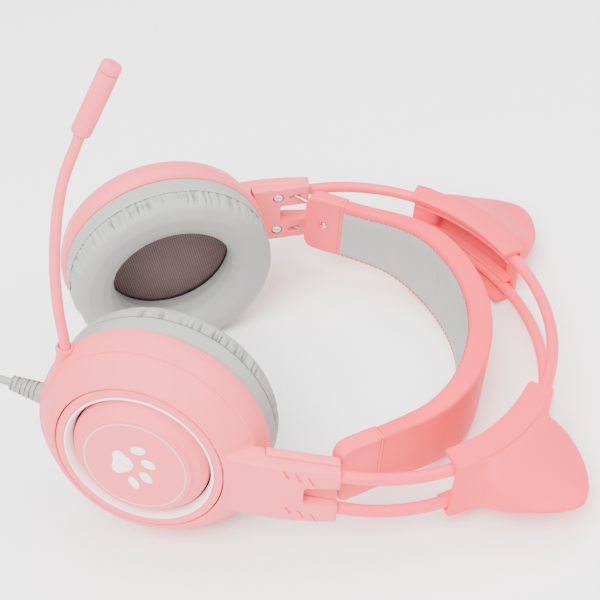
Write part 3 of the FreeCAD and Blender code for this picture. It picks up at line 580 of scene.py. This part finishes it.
# %% [markdown]
# ## Cup rings and faces
# Each ring, bezel, milky light ring, domed disc, inlaid line and paw is turned or raised in the
# cup's own frame, so left and right come from the same numbers. Thin gaps between the turned
# parts read as the dark parting lines of the real moulding.
# %%
for word, (sign, cup) in CUPS.items():
    ring = lathe([(41.4, 0, 0.3), (43.6, 0, 0.8), (45.0, 1.5, 1.2), (44.8, 5.5, 5),
                  (42.9, 11.6, 0.6), (41.2, 11.6, 0.2)], cup, steps=192, ease=6)
    finish_piece(word + "_ring", ring, SHELL, "frame", [word + "_cup_ring"])
    bezel = lathe([(29.15, 14.5, 0), (32.25, 14.5, 0), (32.25, 20.75, 0.7), (29.15, 20.75, 0.4)],
                  cup, steps=192)
    finish_piece(word + "_bezel", bezel, SHELL, "frame", [word + "_face_bezel"])
    light = lathe([(26.95, 14.0, 0), (29.0, 14.0, 0), (29.0, 20.9, 0.25), (28.3, 21.0, 0.3),
                   (27.6, 19.6, 1.2), (26.95, 17.4, 0.5)], cup, steps=192)
    finish_piece(word + "_glow_ring", light, LENS, "frame", [word + "_light_ring"])
    dome = lathe([(0, 21.5, 0), (18, 21.5, 0), (24.5, 15.0, 0), (26.4, 15.0, 0.2),
                  (26.1, 18.4, 1.6), (24.2, 20.9, 2.2), (21.9, 22.5, 0.8), (21.5, 23.75, 0.7),
                  (20.7, 24.0, 0.4), (20.35, 23.8, 0.1), (20.1, 24.0, 0.1), (0, 24.0, 0)],
                 cup, closed=False, steps=192)
    finish_piece(word + "_dome", dome, SHELL, "frame", [word + "_face_disc"],
                 crease=50)
    line = lathe([(19.2, 23.6, 0), (20.0, 23.6, 0), (20.0, 24.06, 0.05), (19.2, 24.06, 0.05)],
                 cup, steps=192)
    finish_piece(word + "_inlay", line, TRIM, "frame", [word + "_disc_trim"])
    shapes = [prism(closed_curve(PAD), 23.5, 24.1, 0.05, 2, cup)]
    for x, y, long_half, short_half, tilt in BEANS:
        spin = cup @ Matrix.Translation((x, y, 0)) @ Matrix.Rotation(math.radians(tilt), 4, "Z")
        oval = [(long_half * math.cos(math.tau * k / 40), short_half * math.sin(math.tau * k / 40))
                for k in range(40)]
        shapes.append(prism(oval, 23.5, 24.1, 0.05, 2, spin))
    finish_piece(word + "_paw", joined(*shapes), PAW, "frame", [word + "_paw_lens"])
    cloth = lathe([(0, 0.2, 0), (27.4, 0.2, 0), (27.4, 0.9, 0), (0, 0.9, 0)], cup, closed=False)
    finish_piece(word + "_cloth", cloth, MESH, "frame", [word + "_speaker_cloth"])
    felt = lathe([(27.2, 1.0, 0), (41.0, 1.0, 0), (41.0, 1.6, 0), (27.2, 1.6, 0)], cup, steps=96)
    finish_piece(word + "_felt", felt, DARK, "frame")
print("faces done")

# %% [markdown]
# ## Outer shells and arms
# On the real headset the cup's shell and its arm are one moulding. The shell is turned, the arm
# is raised from its outline and cut for the prong slot, and a voxel remesh of the two together
# gives one skin with softly rounded edges. The slanted strokes are cut after it, to stay crisp.
# %%
SLOT = rounded([(69.5, -4.4, 1.2), (86, -4.4, 0), (86, 4.4, 0), (69.5, 4.4, 1.2)])
SIDEWAYS = Matrix(((1, 0, 0), (0, 0, 1), (0, 1, 0))).to_4x4()
STROKES = ((62.9, 11.4), (67.4, 10.0), (71.9, 8.7), (64.4, -8.1), (69.1, -9.8), (73.9, -11.4))


def prong_slot(sign):
    """The cutter for the slot between an arm's two prongs."""
    window = prism([(p.x, p.y) for p in SLOT], 65, 95, matrix=SIDEWAYS)
    if sign < 0:
        window.transform(Matrix.Scale(-1, 4, (0, 1, 0)))
    return window


def cut(cutter, solver="EXACT"):
    return ("BOOLEAN", {"operation": "DIFFERENCE", "solver": solver, "object": cutter})


for word, (sign, cup) in CUPS.items():
    outside = lathe([(0, 11.0, 0), (42.5, 11.0, 0.3), (40.4, 14.4, 3), (37.6, 17.4, 3),
                     (35.0, 19.9, 3), (33.8, 20.9, 0.8), (32.6, 20.9, 0.2), (0, 20.9, 0)],
                    cup, closed=False, steps=160, ease=5)
    cavity = lathe([(0, -2, 0), (45.4, -2, 0), (45.4, 11.0, 0), (40.7, 11.0, 0), (38.3, 14.0, 0),
                    (35.4, 17.0, 0), (33.4, 18.8, 0), (32.6, 19.0, 0), (32.6, 26, 0), (0, 26, 0)],
                   cup, closed=False, steps=160)
    root_out = cup @ Vector((34.0, 0, 20.6))
    root_in = cup @ Vector((34.0, 0, 12.0))
    outline = [(root_out.x, root_out.y), (50.5, sign * 82.3), (61, sign * 85), (72, sign * 86.3),
               (82.3, sign * 86.9), (82.3, sign * 83.4), (55.8, sign * 77.9),
               (55.8, sign * 73.9), (root_in.x, root_in.y)]
    arm = prism(outline, -14.2, 14.2)
    shell = worked(outside,
                   ("BOOLEAN", {"operation": "UNION", "solver": "EXACT", "object": arm}),
                   cut(prong_slot(sign)), cut(cavity),
                   ("REMESH", {"mode": "VOXEL", "voxel_size": 0.62}),
                   ("SMOOTH", {"factor": 0.5, "iterations": 5}))
    marks = []
    for x, z in STROKES:
        lean = Matrix.Rotation(math.radians(118), 4, "Z")
        stroke = rounded([(-2.5, -0.45, 0.4), (2.5, -0.45, 0.4), (2.5, 0.45, 0.4),
                          (-2.5, 0.45, 0.4)])
        y = 85 + (x - 61) * 0.118
        place = Matrix.Translation((x, sign * y, z)) @ SIDEWAYS @ lean
        marks.append(prism([(p.x, p.y) for p in stroke], -0.75, 2.0 if sign > 0 else 0.75,
                           matrix=place))
    shell = worked(shell, cut(joined(*marks), "MANIFOLD"))
    finish_piece(word + "_shell", shell, SHELL, "frame", [word + "_outer_shell"],
                 crease=60)
print("shells made")

# %% [markdown]
# ## Arm covers and screws
# The arm's inner half is a separate cover held by two cross-head screws, with a slot where each
# steel wire comes out. A bevelled prism is cut by the screw seats, the slots and the cup.
# %%
for word, (sign, cup) in CUPS.items():
    cover = prism([(56.0, sign * 77.8), (82.3, sign * 83.3), (82.3, sign * 79.3),
                   (56.0, sign * 73.8)], -14.2, 14.2, 0.7, 3)
    cutters = [prong_slot(sign)]
    screws = []
    for height in (-9, 9):
        face = Matrix.Translation((68.3, sign * 76.4, height)) @ SIDEWAYS
        if sign < 0:
            face = face @ Matrix.Scale(-1, 4, (0, 0, 1))
        cutters.append(lathe([(0, -1.5, 0), (2.5, -1.5, 0), (2.5, 1.6, 0), (0, 1.6, 0)], face,
                             closed=False, steps=32))
        head = lathe([(0, 0.5, 0), (1.9, 0.5, 0.3), (2.1, 0.9, 0.2), (2.1, 1.7, 0), (0, 1.7, 0)],
                     face, closed=False, steps=40)
        cross = [box_mesh((-1.1, -0.28, 0.2), (1.1, 0.28, 1.1), face),
                 box_mesh((-0.28, -1.1, 0.2), (0.28, 1.1, 1.1), face)]
        screws.append(worked(head, cut(cross[0]), cut(cross[1])))
        cutters.append(box_mesh((73.4, sign * 78.3 - 1.6, height - 1.1),
                                (78.6, sign * 78.3 + 1.6, height + 1.1)))
    cup_room = lathe([(0, -2, 0), (45.4, -2, 0), (45.4, 21, 0), (0, 21, 0)], cup, closed=False)
    cover = worked(cover, *[cut(cutter) for cutter in cutters + [cup_room]])
    finish_piece(word + "_cover", cover, SHELL, "frame", [word + "_arm_cover"])
    finish_piece(word + "_screws", joined(*screws), STEEL, "frame",
                 [word + "_arm_screws"])
print("covers and screws made")

# %% [markdown]
# ## Frame tubes
# Two painted steel tubes carry everything. Each is a rod along the frame's line from one arm,
# over the crown, to the other. A bevelled curve would do as well, but a mesh keeps its ends
# closed and its normals plain for the export.
# %%
for word, height in (("front", 9.0), ("rear", -9.0)):
    path = [tube_point(1 if angle >= 0 else -1, abs(angle), 0, height)
            for angle in (-112 + 2 * k for k in range(113))]
    finish_piece(word + "_frame_tube", rod(path, 2.4, 32), PAINT, "frame",
                 [word + "_tube"])
print("tubes done")

# %% [markdown]
# ## Puffing up the ear cushions
# A cushion is a leatherette ring stuffed with foam. It could be shaped by hand, but cloth with
# a little air pressure finds the tight curve that stuffing gives. It is pinned where it meets the
# cup, and no point may move further than the cap. The cloth works at ten times life size,
# because pressure acts too weakly on a mesh of a few centimetres.
# %%
CLOTH_SCALE, PUFF_CAP, PINNED_ABOVE = 0.01, 0.016, -0.012
RING = [(31, 0.2, 0), (40, 0.2, 0), (43.5, -0.4, 0.3), (43.9, -6.4, 1), (43.9, -12.0, 3),
        (42.5, -16.6, 4), (37.5, -19.0, 3), (32.0, -19.2, 3), (28.0, -17.3, 3), (25.9, -12.9, 3),
        (25.5, -7.5, 3), (27.4, -1.0, 1)]


def puffed(bm):
    mesh = bpy.data.meshes.new("cushion")
    bm.to_mesh(mesh)
    bm.free()
    scene = bpy.context.scene
    obj = bpy.data.objects.new("cushion work", mesh)
    scene.collection.objects.link(obj)
    mesh.transform(Matrix.Scale(CLOTH_SCALE, 4))
    start = [vertex.co.copy() for vertex in mesh.vertices]
    pins = obj.vertex_groups.new(name="pins")
    pins.add([v.index for v in mesh.vertices if v.co.z > PINNED_ABOVE], 1.0, "REPLACE")
    cloth = obj.modifiers.new("cloth", "CLOTH")
    cloth.settings.use_pressure = True
    cloth.settings.uniform_pressure_force = 4
    cloth.settings.effector_weights.gravity = 0
    cloth.settings.vertex_group_mass = "pins"
    cloth.settings.quality = 6
    for step in range(1, 21):
        scene.frame_set(step)
    depsgraph = bpy.context.evaluated_depsgraph_get()
    swollen = bpy.data.meshes.new_from_object(obj.evaluated_get(depsgraph))
    for vertex, first in zip(swollen.vertices, start):
        move = vertex.co - first
        if move.length > PUFF_CAP:
            move *= PUFF_CAP / move.length
        vertex.co = first + move
    bpy.data.objects.remove(obj, do_unlink=True)
    swollen.transform(Matrix.Scale(1 / CLOTH_SCALE, 4))
    scene.frame_set(1)
    result = bmesh.new()
    result.from_mesh(swollen)
    return result


print("cushion section corners:", len(RING))

# %% [markdown]
# ## Seams and pleats
# The outer seam pulls the leatherette in, and the spare length gathers into small folds beside
# it. The folds are uneven, so noise round the ring places them: a fold is where the noise
# crosses zero, which gives narrow valleys with soft hills between. The seam's thread is a rod.
# %%
SEAM = -8.2


def pleat(angle, scale):
    """Uneven gathers round the ring, from -1 to 1."""
    spot = Vector((math.cos(angle), math.sin(angle), 0)) * scale
    return noise.noise(spot + Vector((3.1, 7.7, 0.4)))


def cushion_mesh():
    bm = worked(puffed(lathe(RING, Matrix(), steps=112, ease=2)), ("SUBSURF", {"levels": 2}))
    for vertex in bm.verts:
        x, y, w = vertex.co
        reach = math.hypot(x, y)
        angle = math.atan2(y, x)
        outward = Vector((x / reach, y / reach, 0))
        if reach > 34:
            fold = max(0.0, 0.2 - abs(pleat(angle, 17.0))) / 0.2
            fine = max(0.0, 0.14 - abs(pleat(angle + 2.0, 41.0))) / 0.14
            spread = 4.2 if w < -10.0 else 1.8
            depth = (w < SEAM) * math.exp(-((w + 10.0) / spread) ** 2)
            vertex.co -= outward * depth * (2.3 * fold + 0.7 * fine + 0.3)
            vertex.co -= outward * 0.5 * math.exp(-((w - SEAM) / 0.45) ** 2)
        elif reach < 31:
            near = math.exp(-((w + 13.5) / 2.0) ** 2)
            vertex.co -= outward * 0.4 * near * pleat(angle, 16.0)
        vertex.co.z += 0.12 * pleat(angle, 5.0) * (w < -15)
    return bm


for word, (sign, cup) in CUPS.items():
    cushion = finish_piece(word + "_cushion", cushion_mesh(), GREY_SKIN, "frame",
                           [word + "_ear_cushion"], crease=80,
                           matrix=ROW @ cup)
    for vertex in cushion.data.vertices:  # flat where it rests on the table
        vertex.co.z = max(vertex.co.z, 0.0001)
    seam = rod(closed_curve([Vector((math.cos(a), math.sin(a), 0)) * 43.45
                             + Vector((0, 0, -8.25 + 0.14 * pleat(a, 60.0)))
                             for a in [math.tau * k / 90 for k in range(90)]], 3), 0.2, 6)
    finish_piece(word + "_cushion_seam", seam, GREY_THREAD, "frame",
                 matrix=ROW @ cup)
print("cushions done")

# %% [markdown]
# ## Stations along the suspended strap
# Stations run from the left cap over the crown to the right cap. At each one the strap has a
# place, a way out, a half width and a thickness. `WIDENING` says how far the strap has grown
# from its narrow ends towards its full width at the crown.
# %%
WIDENING = [(1.0, 0.0), (0.9, 0.12), (0.803, 0.25), (0.726, 0.38), (0.648, 0.52),
            (0.562, 0.68), (0.475, 0.8), (0.317, 0.92), (0.158, 1.0), (0.0, 1.0)]


STRAP_CENTRE, CROWN_BEND, SIDE_BEND, CROWN_TURN, SIDE_TURN, STRAIGHT = (
    Vector((65.3, 0, 0)), 80, 48.8, math.radians(30), math.radians(34), 17.4)
CROWN_RUN, SIDE_RUN = CROWN_BEND * CROWN_TURN, SIDE_BEND * SIDE_TURN


def towards(angle):
    return Vector((math.cos(angle), math.sin(angle), 0))


def strap_station(run):
    """Middle point, outward normal, half width and thickness at run: -1 left, 0 crown, 1 right."""
    far = min(abs(run), 1.0)
    travel = far * (CROWN_RUN + SIDE_RUN + STRAIGHT)
    if travel <= CROWN_RUN:
        normal = towards(travel / CROWN_BEND)
        point = STRAP_CENTRE + normal * CROWN_BEND
    else:
        normal = towards(CROWN_TURN + min(travel - CROWN_RUN, SIDE_RUN) / SIDE_BEND)
        shoulder = STRAP_CENTRE + towards(CROWN_TURN) * (CROWN_BEND - SIDE_BEND)
        point = shoulder + normal * SIDE_BEND
        point += Vector((-normal.y, normal.x, 0)) * max(travel - CROWN_RUN - SIDE_RUN, 0)
    for (out_run, out_share), (in_run, in_share) in zip(WIDENING, WIDENING[1:]):
        if in_run <= far <= out_run:
            share = out_share + (in_share - out_share) * (out_run - far) / (out_run - in_run)
    ease = share * share * (3 - 2 * share)
    flip = Vector((1, -1 if run < 0 else 1, 1))
    return point * flip, normal * flip, 14.0 + 4.0 * ease, 6.3 + 3.1 * ease


print("half width at the crown:", strap_station(0)[2])

# %% [markdown]
# ## Cover and pad
# The pink cover wraps round both edges onto the inner side, and the grey pad bulges between the
# two lips. Cloth simulation would lose a strap's thin edges, so both are lofted from sections
# square to the strap, and the pad's soft creases come from noise in its section.
# %%
def strap_skin(section, count):
    """Lofts a section function of (half width, thickness, run) along the strap."""
    sections = []
    for index in range(count + 1):
        run = 2 * index / count - 1
        point, normal, half, thick = strap_station(run)
        sections.append([point + normal * out + Vector((0, 0, across))
                         for across, out in section(half, thick, run)])
    return loft(sections)


LIP = {1: 3.5, -1: 1.3}


def cover_section(half, thick, run):
    t = thick / 2
    sides = {edge: [(edge * (half - LIP[edge]), -t + 0.5, 0.2),
                    (edge * (half - LIP[edge]), -t - 0.15, 0.3), (edge * half, -t + 0.1, 1.5),
                    (edge * half, t - 0.15, 1.8), (edge * half * 0.4, t, 6)] for edge in (1, -1)}
    right_side, left_side = sides[1], sides[-1][::-1]
    inner = [(-half + LIP[-1] + 1.2, 0.6, 0), (half - LIP[1] - 1.2, 0.6, 0)]
    return [(p.x, p.y) for p in rounded(right_side + left_side + inner, steps=3)]


def pad_section(half, thick, run):
    t = thick / 2
    high, low = half - LIP[1] + 0.25, -half + LIP[-1] - 0.25
    inner = []
    for step in range(17):
        across = high + (low - high) * step / 16
        share = 1 - (1 - step / 8) ** 8
        puff = 0.35 + 1.05 * share
        wave = noise.noise(Vector((run * 17, across * 0.09, thick * 0.3)))
        creases = noise.noise(Vector((run * 42, across * 0.03, 4.2)))
        inner.append((across, -t - puff - share * (0.3 * wave + 0.26 * creases) + 0.25))
    return [(high, 0.3)] + inner + [(low, 0.3)]


cover = finish_piece("strap_skin", strap_skin(cover_section, 180), PINK_SKIN, "headband",
                     ["strap_cover"], crease=60)
pad = finish_piece("strap_cushion", strap_skin(pad_section, 260), GREY_SKIN, "headband",
                   ["strap_pad"], crease=60)
print("cover and pad made")

# %% [markdown]
# ## Stitches
# A row of short threads holds the cover's lips down. Each is a small rod that dips in the
# middle, with only a few sides, because there are well over a hundred of them.
# %%
stitches = []
for edge in (-1, 1):
    for index in range(76):
        run = -0.985 + 1.97 * index / 75
        ends = []
        for shift in (-0.0078, 0, 0.0078):
            point, normal, half, thick = strap_station(run + shift)
            rise = -0.1 if shift == 0 else 0.05
            ends.append(point + normal * (-thick / 2 - 0.14 + rise)
                        + Vector((0, 0, edge * (half - LIP[edge] + 0.5))))
        stitches.append(rod(ends, 0.34, 6))
finish_piece("strap_stitches", joined(*stitches), THREAD, "headband")
print("stitches:", len(stitches))

# %% [markdown]
# ## End caps and rivets
# A moulded cap closes each end of the strap, with rounded corners towards the cup, a fine
# parting groove by the strap and a steel rivet in a dished seat on the wearer's side. Each is
# made in the cap's own frame: X away from the crown, Y across, Z outwards.
# %%
CAP_FRAMES = {}
for word, (sign, cup) in CUPS.items():
    end, normal = strap_station(sign)[:2]
    away = (end - strap_station(sign * 0.97)[0]).normalized()
    frame_turn = Matrix((away, Vector((0, 0, 1)), normal)).transposed().to_4x4()
    cap_place = CAP_FRAMES[word] = Matrix.Translation(end) @ frame_turn
    outline = rounded([(0.05, -14.2, 0.8), (18.2, -14.2, 6.0), (18.2, 14.2, 6.0),
                       (0.05, 14.2, 0.8)], steps=8)
    cap = prism([(p.x, p.y) for p in outline], -3.4, 3.4, 1.3, 4)
    recess = lathe([(0, -5, 0), (2.9, -5, 0), (2.4, -2.6, 0.3), (0, -2.6, 0)],
                   Matrix.Translation((9.1, 0, 0)), closed=False, steps=48)
    rebate = joined(box_mesh((1.5, -16, 3.05), (1.95, 16, 5)),
                    box_mesh((1.5, -16, -5), (1.95, 16, -3.05)),
                    box_mesh((1.5, 13.85, -5), (1.95, 16, 5)),
                    box_mesh((1.5, -16, -5), (1.95, -13.85, 5)))
    rebate = worked(rebate, ("REMESH", {"mode": "VOXEL", "voxel_size": 0.1}))
    cap = worked(cap, cut(recess), cut(rebate))
    finish_piece(word + "_cap", cap, CAPS, "headband", [word + "_end_cap"],
                 matrix=ROW @ cap_place)
    stud = lathe([(0, -3.35, 0), (1.0, -3.3, 0.4), (1.6, -2.9, 0.3), (1.6, 1.5, 0), (0, 1.5, 0)],
                 Matrix.Translation((9.1, 0, 0)), closed=False, steps=40)
    finish_piece(word + "_rivet", stud, STEEL, "headband", [word + "_cap_rivet"],
                 matrix=ROW @ cap_place)
print("caps made")

# %% [markdown]
# ## Steel wires
# Two thin wires hang each cap from its arm and are drawn out as the strap rises. They cross the
# joint, so each pair hangs on no body and has its place baked into its mesh.
# %%
for word, (sign, cup) in CUPS.items():
    cap_place = CAP_FRAMES[word]
    lines = []
    for height in (-9, 9):
        start = Vector((75.3, sign * (73.8 + (75.3 - 55.8) / 26.4 * 5.5 + 1.6), height))
        stop = cap_place @ Vector((17.6, height * 0.9, 0))
        lines.append(rod([start.lerp(stop, k / 10) for k in range(11)], 0.6, 16))
    wire = finish_piece(word + "_steel_wires", joined(*lines), STEEL, None)
    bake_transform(wire)
    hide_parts(word + "_wires")
print("wires made")

# %% [markdown]
# ## The skin of a cat ear
# Each ear is one hollow moulding. A saddle plate lies over both tubes and sweeps up into a
# leaf-shaped ear, whose section turns from a rounded box at the plate into a lens near the
# tip. A row of superellipses says this in a few numbers: one power makes the box or the lens.
# %%
PLATE_LIFT, PLATE_ANGLE, PLATE_HALF = 4.1, 20.5, 13.6
LEAF_LIFT, LEAF_ANGLE, LEAF_HALF, LEAF_LEAN, TIP_FROM = 7.4, 15.2, 12.5, 3.5, 0.92
EAR_WALL = 1.5


def ear_rows(height, inset):
    """Rise, half angle, half width, power and lean of every section, from plate to tip."""
    rows = []
    shrink = math.degrees(inset / 90)
    for step in range(11):
        u = step / 10
        rows.append((PLATE_LIFT - inset + 3.3 * u ** 2.4,
                     PLATE_ANGLE + (LEAF_ANGLE - shrink - PLATE_ANGLE) * u ** 0.7,
                     PLATE_HALF + (LEAF_HALF - inset - PLATE_HALF) * u ** 0.7,
                     24 - 19 * min(u * 1.4, 1), 0.0))
    for step in range(1, 41):
        v = step / 40
        half_angle = LEAF_ANGLE * (1 - v ** 1.9) + 1.5 * v - shrink
        half_width = 1.5 + 11.0 * (1 - v) ** 1.5 - inset
        if v > TIP_FROM:
            tip = math.sqrt(max(1 - ((v - TIP_FROM) / (1 - TIP_FROM)) ** 2, 0))
            half_angle *= max(tip, 0.03)
            half_width *= max(tip, 0.03)
        rows.append((LEAF_LIFT - inset + v * (height - LEAF_LIFT - 0.4 * inset),
                     max(half_angle, 0.05), max(half_width, 0.04),
                     5.0 - 2.9 * min(v * 1.7, 1), LEAF_LEAN * v))
    return rows


def ear_skin(sign, mid, height, inset, around=96):
    """The moulding's skin, inset by a wall, open at the plate and closed at the tip."""
    sections = []
    for rise, half_angle, half_width, power, lean in ear_rows(height, inset):
        narrow = 2.6 * min((PLATE_ANGLE - half_angle) / 5.3, 1) * (1 - lean / LEAF_LEAN)
        ring = []
        for k in range(around):
            turn = math.tau * (k + 0.5) / around
            cos, sin = math.cos(turn), math.sin(turn)
            x = math.copysign(abs(cos) ** (2 / power), cos)
            z = math.copysign(abs(sin) ** (2 / power), sin)
            across = x * (half_angle - (narrow if x > 0 else 0))
            ring.append(tube_point(sign, mid - lean + across, rise, z * half_width))
        sections.append(ring)
    return loft(sections, filled=[-1])


def ear_shell(sign, mid, height):
    """Outer and inner skin, bridged round the plate's edge into one wall."""
    both = joined(ear_skin(sign, mid, height, 0.0), ear_skin(sign, mid, height, EAR_WALL))
    bmesh.ops.bridge_loops(both, edges=[edge for edge in both.edges if edge.is_boundary])
    return both


print("ear sections:", len(ear_rows(30, 0)))

# %% [markdown]
# ## Ear walls, and the ears themselves
# Four walls run under the plate along the tubes. The two outer ones hook over the tubes and clip
# on, so the whole ear can be pulled off, and the two inner ones stop it rocking. Each is one
# rounded outline swept along the frame, with its ends eased off.
# %%
OUTER_WALL = [(4.05, 13.9, 1.3), (-6.3, 13.8, 0.9), (-6.3, 12.0, 0.9), (4.05, 12.0, 0.2)]
INNER_WALL = [(3.4, 6.3, 0.3), (-1.5, 6.3, 0.5), (-1.5, 4.9, 0.5), (3.4, 4.9, 0.3)]


def ear_wall(sign, mid, corners, half_angle, flip):
    """One wall, swept along a tube; its ends are eased over the last twenty-fifth."""
    outline = rounded(corners, steps=5)
    sections = []
    for step in range(53):
        share = 2 * step / 52 - 1
        trim = 0.7 * (max(0.0, abs(share) - 0.96) / 0.04) ** 2
        sections.append([tube_point(sign, mid + half_angle * share,
                                    p.x + (trim if p.x < -3 else -trim * 0.3), p.y * flip)
                         for p in outline])
    return loft(sections)


for word, sign, mid, height in (("left", -1, 49.5, 34.6), ("right", 1, 43.0, 36.5)):
    mould = joined(ear_shell(sign, mid, height),
                   *[ear_wall(sign, mid, OUTER_WALL, 20.5, flip) for flip in (1, -1)],
                   *[ear_wall(sign, mid, INNER_WALL, 19.0, flip) for flip in (1, -1)])
    finish_piece(word + "_cat_ear", mould, EARS, word + "_ear_clip",
                 [word + "_ear"], crease=42)
print("ears made")

# %% [markdown]
# ## The boom's line
# The boom is a gooseneck: a bendy metal core in a soft sleeve. Its rest line passes smoothly
# through a few listed points, which bend it the way a wearer leaves it.
# %%
def smooth_line(points, steps):
    """A smooth line through given points."""
    padded_points = [points[0] * 2 - points[1]] + points + [points[-1] * 2 - points[-2]]
    result = []
    for i in range(1, len(points)):
        p0, p1, p2, p3 = padded_points[i - 1:i + 3]
        for step in range(steps):
            t = step / steps
            result.append(0.5 * (2 * p1 + (p2 - p0) * t + (2 * p0 - 5 * p1 + 4 * p2 - p3) * t * t
                                 + (3 * p1 - 3 * p2 + p3 - p0) * t ** 3))
    return result + [points[-1]]


BOOM = [Vector((-17.0, -43, 29.5)), Vector((-15.9, -43, 35)), Vector((-17.2, -41.6, 53)),
        Vector((-17.1, -38.1, 73)), Vector((-13.9, -31.4, 96)), Vector((-7.0, -23.9, 113.4))]
line = smooth_line(BOOM, 24)
print("points along the boom:", len(line))

# %% [markdown]
# ## The boom's sleeve
# The sleeve is drawn in two lengths that meet between the hinges. Each stands for one CAD part
# of the boom, hangs on no body and has its place baked into its mesh.
# %%
BOOM_RADIUS, MEETING = 1.95, 58
lower = finish_piece("boom_sleeve", rod(line[:MEETING + 1], BOOM_RADIUS, 28), SLEEVE, None)
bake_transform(lower)
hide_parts("boom_lower")
upper = finish_piece("boom_upper_sleeve", rod(line[MEETING:], BOOM_RADIUS, 28), SLEEVE, None)
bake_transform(upper)
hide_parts("boom_upper")
print("sleeve made")

# %% [markdown]
# ## The funnel at the boom's foot
# A turned collar flares out of the cup and swallows the end of the sleeve. Its mouth is hollow,
# so the sleeve dips into shade where it enters.
# %%
foot, top = Vector((-17.6, -43, 25.6)), Vector((-15.9, -43, 34.4))
funnel_turn = (top - foot).to_track_quat("Z", "Y").to_matrix().to_4x4()
funnel = lathe([(0, 0, 0), (2.4, 0, 0), (2.5, 4.5, 3), (3.3, 7.9, 0.6), (3.1, 8.7, 0.4),
                (2.3, 8.8, 0.2), (2.15, 6.0, 0), (0, 6.0, 0)],
               Matrix.Translation(foot) @ funnel_turn, closed=False, steps=64)
finish_piece("boom_funnel", funnel, SHELL, "frame", ["boom_collar"])
print("funnel made")

# %% [markdown]
# ## The microphone capsule
# The capsule is two turned shells with a fine seam between them. The lid has a small sound
# hole at its end. Both ride on the upper half of the boom.
# %%
start, stop = Vector((-7.3, -24, 112.8)), Vector((4.6, -20, 138.2))
reach = (stop - start).length
upright = (stop - start).to_track_quat("Z", "Y").to_matrix().to_4x4()
capsule_turn = Matrix.Translation(start) @ upright
capsule = lathe([(0, 0.2, 0), (2.3, 0.2, 0.2), (3.4, 1.0, 0.8), (3.55, 3.0, 1),
                 (3.55, reach - 3.7, 0.2), (3.25, reach - 3.6, 0), (3.25, reach - 3.2, 0),
                 (3.25, reach - 6, 0), (0, reach - 6, 0)], capsule_turn, closed=False, steps=72)
finish_piece("mic_body", capsule, SLEEVE, "upper_boom", ["mic_housing"])
lid = lathe([(0, reach - 4.2, 0), (3.2, reach - 4.2, 0), (3.2, reach - 3.3, 0),
             (3.55, reach - 3.2, 0.2), (3.5, reach - 0.2, 1.1), (0.7, reach, 0),
             (0.6, reach - 0.8, 0), (0, reach - 0.8, 0)], capsule_turn, closed=False, steps=72)
finish_piece("mic_lid", lid, SLEEVE, "upper_boom", ["mic_end_cap"])
print("microphone length:", round(reach, 1))

# %% [markdown]
# ## The table
# The headset lies on a wide white sheet, which belongs to the picture and not to the headset.
# %%
sheet = bmesh.new()
bmesh.ops.create_grid(sheet, x_segments=1, y_segments=1, size=6)
floor_mesh = bpy.data.meshes.new("table")
sheet.to_mesh(floor_mesh)
sheet.free()
floor = bpy.data.objects.new("table", floor_mesh)
bpy.context.scene.collection.objects.link(floor)
floor_mesh.materials.append(node_material("table top", (0.97, 0.97, 0.97), 0.7, drift=0.004,
                                          bump=0.0))
print("table laid")

# %% [markdown]
# ## Light
# A white world stands in for a light tent, and three soft area lights shape the forms: a key
# from the front, a weak fill from the side and one from above.
# %%
world = bpy.data.worlds.new("studio")
bpy.context.scene.world = world
world.use_nodes = True
tent = world.node_tree.nodes["Background"].inputs
tent["Color"].default_value = (1, 1, 1, 1)
tent["Strength"].default_value = 1.0
for name, spot, aim, size, power in (
        ("key", (-0.5, -0.9, 1.5), (0, 0, 0.05), 1.2, 80),
        ("fill", (1.1, -0.3, 1.2), (0, 0, 0.05), 1.2, 20),
        ("top", (0.1, 0.5, 1.8), (0, 0, 0), 1.6, 40)):
    data = bpy.data.lights.new(name, "AREA")
    data.size, data.energy = size, power
    light = bpy.data.objects.new(name, data)
    light.location = spot
    light.rotation_euler = (Vector(spot) - Vector(aim)).to_track_quat("Z", "Y").to_euler()
    bpy.context.scene.collection.objects.link(light)
print("lights:", len(bpy.data.lights))
